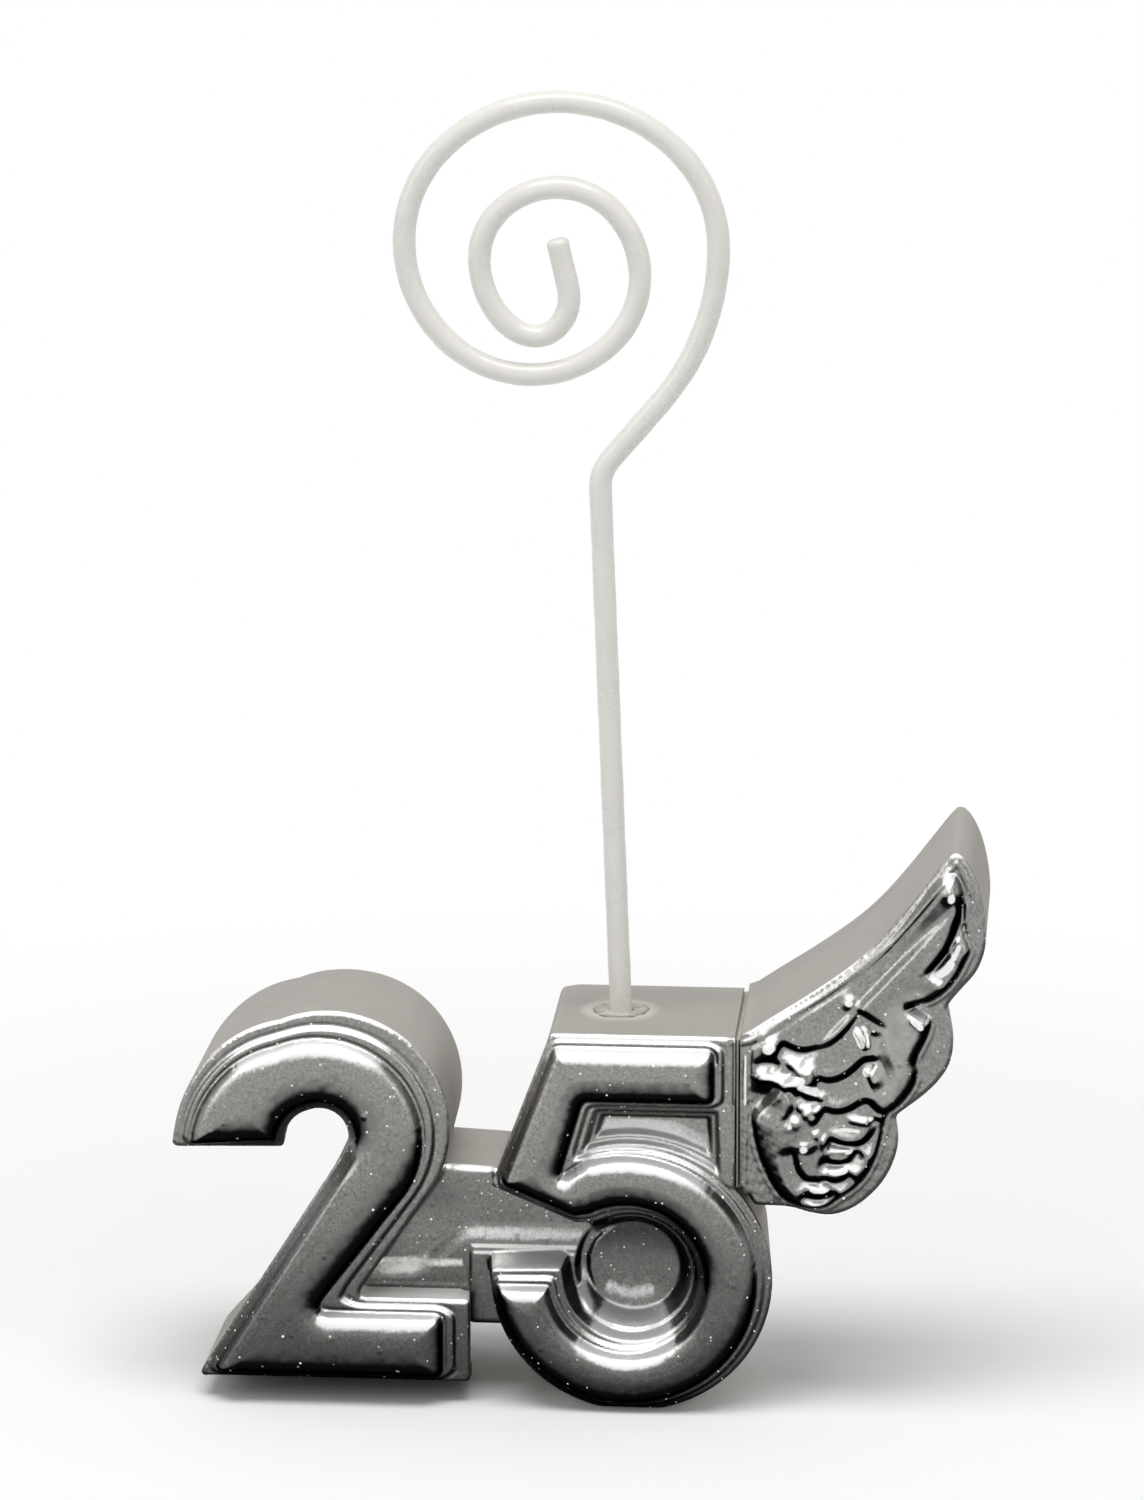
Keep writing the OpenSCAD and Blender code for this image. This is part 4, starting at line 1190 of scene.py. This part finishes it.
class HOLDER_OT_glue(bpy.types.Operator):
    """Makes the glue in the wing's seam and the filler round the foot of the wire"""
    bl_idname = "holder.glue"
    bl_label = "Glue"

    def execute(self, context):
        t = np.linspace(0, 1, 60)
        x = SEAM_X + GLUE_LINE / 2
        u = np.linspace(0, 2 * math.pi, 24, endpoint=False)
        z = GLUE_FOOT + (FIVE_TOP - 0.35 - GLUE_FOOT) * t[:, None] + 0 * u
        wobble = 1 + 0.12 * np.sin(t * 31)[:, None] * np.cos(u)
        half = GLUE_LINE / 2 + 0.06
        flat_ends = np.sign(np.sin(u)) * np.abs(np.sin(u)) ** 0.2 * GLUE_HALF_DEPTH
        rings = np.stack([x + half * np.cos(u) * wobble, flat_ends + 0 * z, z], axis=-1)
        points, faces = skin(rings)
        line = new_object("glue_line", points * MM, faces, material("glue"), ["wing_glue_line"])
        recalculated(line)

        # Crater: a shallow dished ring round the wire, its radius and height uneven round the turn
        a = np.linspace(0, 2 * math.pi, 96, endpoint=False)
        r = np.array([0.8, 0.86, 1.0, 1.2, 1.45, 1.7, 1.9, 2.03])[:, None]
        up = np.array([0.02, 0.0, -0.02, -0.02, 0.0, 0.06, 0.03, -0.05])[:, None]
        spread = 1 + 0.05 * np.sin(2 * a + 0.7) + 0.03 * np.sin(5 * a) * (r > 1.1)
        rough = 0.025 * np.sin(7 * a + 2 * r) + 0.02 * np.sin(11 * a - 3 * r)
        top = np.stack([r * spread * np.cos(a), r * spread * np.sin(a),
                        FIVE_TOP + up + rough * (r > 0.9) + 0 * a], axis=-1)
        foot = top[::-1] * [1, 1, 0] + [0, 0, FIVE_TOP - 0.6]
        points, faces = skin(np.vstack([top, foot]), closed=True)
        ring = new_object("socket_filler", points * MM, faces, material("filler"),
                          ["socket_glue"])
        recalculated(ring)
        attribute(ring, "edge", np.repeat([0, 0, 0, 0, 0, 0, 0.5, 1] + [1] * len(foot), len(a)))
        return {"FINISHED"}


# Bend radii of the spiral, an eighth of a turn each, as shares of its largest one
SPIRAL_SHARES = [0.838, 1, 1, 0.815, 0.844, 0.726, 0.7, 0.582, 0.574, 0.456, 0.506, 0.422, 0.562, 0.257,
                 0.169, 0.27]


class HOLDER_OT_wire(bpy.types.Operator):
    """Makes the enamelled wire with its spiral"""
    bl_idname = "holder.wire"
    bl_label = "Wire clip"

    def execute(self, context):
        sizes = context.scene.holder_wire
        lean, spiral = 2.25, mm(sizes.spiral)
        # Each bend is [radius, turn in degrees]; a straight has its length and no turn
        legs = [(mm(sizes.stem) + BORE_DEPTH, None), (2.6, -(lean + 40)), (5.8, None), (17.5, 40)]
        legs += [(spiral * s, 45) for s in SPIRAL_SHARES] + [(spiral * SPIRAL_SHARES[-1], 13), (3.3, None)]
        lengths, turns = [], []
        for reach, turn in legs:
            run = reach if turn is None else reach * math.radians(abs(turn))
            count = max(6, int(run / 0.22))
            lengths += [run / count] * count
            turns += [0 if turn is None else math.radians(turn) / count] * count
        turns = np.array(turns)
        heading = math.radians(lean) + np.cumsum(turns) - turns / 2
        step = np.array(lengths)[:, None] * np.stack([-np.sin(heading), np.cos(heading)], axis=1)
        start = np.array([BORE_DEPTH * math.sin(math.radians(lean)),
                          FIVE_TOP - BORE_DEPTH * math.cos(math.radians(lean))])
        path = np.vstack([start, start + np.cumsum(step, axis=0)])

        # Eased where the bends change, then closed by a rounded end
        for _ in range(6):
            path[1:-1] = path[1:-1] * 0.5 + (path[:-2] + path[2:]) * 0.25
        run = np.concatenate([[0], np.cumsum(np.linalg.norm(np.diff(path, axis=0), axis=1))])
        uneven = 1.2 + np.sin(run * 0.9) + 0.6 * np.sin(run * 2.3 + 1)
        radius = mm(sizes.thick) / 2 * (1 - sizes.runs * uneven)
        tip = path[-1] - path[-2]
        tip /= np.linalg.norm(tip)
        a = np.radians([15, 30, 45, 60, 72, 82])
        r = radius[-1]
        path = np.vstack([path, path[-1] + tip * (0.45 * r * np.sin(a))[:, None]])
        radius = np.concatenate([radius, r * (0.55 + 0.45 * np.cos(a))])
        radius[-1] *= 0.6
        points, faces = skin(tube(path, radius, 28))
        recalculated(new_object("enamel_wire", points * MM, faces, material("enamel"),
                                ["wire_clip"]))
        return {"FINISHED"}


# Stage

def add_floor(look):
    """A sheet that lies flat under the object and curves up behind it. Far from the object it shows as
    plain white."""
    side, behind, curve, rise = 3.0, 0.9, 0.6, 2.5
    a = np.linspace(0, math.pi / 2, 16)
    bend = np.stack([behind + curve * np.sin(a), curve * (1 - np.cos(a))], axis=1)
    profile = np.vstack([[[-side, 0]], bend, [[behind + curve, rise]]])
    left = np.insert(profile, 0, -side, axis=1)
    right = left * [-1, 1, 1]
    n = len(profile)
    i = np.arange(n - 1)
    mesh = bpy.data.meshes.new("floor")
    mesh.from_pydata(np.vstack([left, right]).tolist(), [],
                     np.stack([i, i + n, i + n + 1, i + 1], axis=1).tolist())
    floor = in_scene("floor", mesh)
    f = Finish("pale_floor", look.floor, 0.8)
    paper = f.noise(9, 2.0)
    f.feed("Base Color", f.mixed(paper, look.floor, shade(look.floor, 0.985)))
    seen = f.seen()
    away = f.node("ShaderNodeVectorMath", {"operation": "LENGTH"}, f.place)
    far = Value(f, away.outputs["Value"]).ramp(0.05, 0.125)
    white = f.node("ShaderNodeEmission", {}, (1, 1, 1, 1), 1.0)
    mix = f.node("ShaderNodeMixShader", {}, seen * far, f.shader.outputs[0], white.outputs[0])
    f.fill(f.tree.nodes["Material Output"].inputs["Surface"], mix.outputs[0])
    mesh.materials.append(f.material)


def add_lamp(name, place, target, size_x, size_y, radiance):
    """A lamp that faces the target; its power is its radiance times pi times its area."""
    data = bpy.data.lights.new(name, "AREA")
    data.shape, data.size, data.size_y = "RECTANGLE", size_x, size_y
    data.energy = radiance * math.pi * size_x * size_y
    made = in_scene(name, data)
    made.location = place
    x, y, z = np.array(target) - place
    made.rotation_euler = (math.atan2(math.hypot(x, y), -z), 0, math.atan2(y, x) - math.pi / 2)


def add_world():
    """A pale room that lights the object softly and shows brighter than it lights."""
    world = bpy.data.worlds.new("pale_room")
    bpy.context.scene.world = world
    world.use_nodes = True
    nodes = Nodes(world.node_tree)
    plain = nodes.tree.nodes["Background"]
    nodes.fill(plain.inputs["Color"], (1, 1, 1, 1))
    nodes.fill(plain.inputs["Strength"], 0.47)
    white = nodes.node("ShaderNodeBackground", {}, Strength=1.0)
    mix = nodes.node("ShaderNodeMixShader", {}, nodes.seen(), plain.outputs[0], white.outputs[0])
    nodes.fill(nodes.tree.nodes["World Output"].inputs[0], mix.outputs[0])


def add_camera(look):
    """A long lens that looks at the middle of the object from its distance, azimuth and elevation."""
    data = bpy.data.cameras.new("camera")
    data.sensor_fit, data.sensor_width, data.lens = "AUTO", 36, 198.7
    camera = in_scene("camera", data)
    target = np.array([-3.59, 0, 48.07]) * MM
    az, el = look.azimuth, look.elevation
    way = np.array([math.sin(az) * math.cos(el), -math.cos(az) * math.cos(el), math.sin(el)])
    camera.location = target + look.distance * way
    camera.rotation_euler = (math.pi / 2 - el, 0, az)
    bpy.context.scene.camera = camera


class HOLDER_OT_stage(bpy.types.Operator):
    """Makes the floor, the lamps, the world and the camera"""
    bl_idname = "holder.stage"
    bl_label = "Stage"

    def execute(self, context):
        look = context.scene.holder_stage
        add_floor(look)
        add_lamp("top_lamp", (0.0, -0.12, 0.5), (0, 0, 0.03), 0.42, 0.2, 6.5)
        add_lamp("left_lamp", (-0.5, -0.2, 0.25), (0, 0, 0.04), 0.2, 0.35, 2.4)
        add_lamp("right_lamp", (0.5, -0.25, 0.25), (0, 0, 0.04), 0.2, 0.35, 1.4)
        add_world()
        add_camera(look)
        context.scene.view_settings.view_transform = "Standard"
        return {"FINISHED"}


PIECES = (HOLDER_OT_two, HOLDER_OT_five, HOLDER_OT_web, HOLDER_OT_wing, HOLDER_OT_glue, HOLDER_OT_wire,
          HOLDER_OT_stage)
GROUPS = {"holder_castings": CastingSizes, "holder_wire": WireSizes, "holder_paints": Paints,
          "holder_stage": StageLook}


class HOLDER_PT_panel(bpy.types.Panel):
    """Lists the pieces of the card holder"""
    bl_idname = "HOLDER_PT_panel"
    bl_label = "Place card holder"
    bl_space_type = "VIEW_3D"
    bl_region_type = "UI"
    bl_category = "Card holder"

    def draw(self, context):
        for piece in PIECES:
            self.layout.operator(piece.bl_idname)


CLASSES = (*GROUPS.values(), *PIECES, HOLDER_PT_panel)


def register():
    """Adds the settings, the operators and the panel."""
    for item in CLASSES:
        bpy.utils.register_class(item)
    for name, group in GROUPS.items():
        setattr(bpy.types.Scene, name, bpy.props.PointerProperty(type=group))


def unregister():
    """Takes away what register adds."""
    for name in GROUPS:
        delattr(bpy.types.Scene, name)
    for item in reversed(CLASSES):
        bpy.utils.unregister_class(item)


def main():
    """Makes every piece and the stage."""
    register()
    for piece in PIECES:
        group, call = piece.bl_idname.split(".")
        getattr(getattr(bpy.ops, group), call)()


if __name__ == "__main__":
    main()
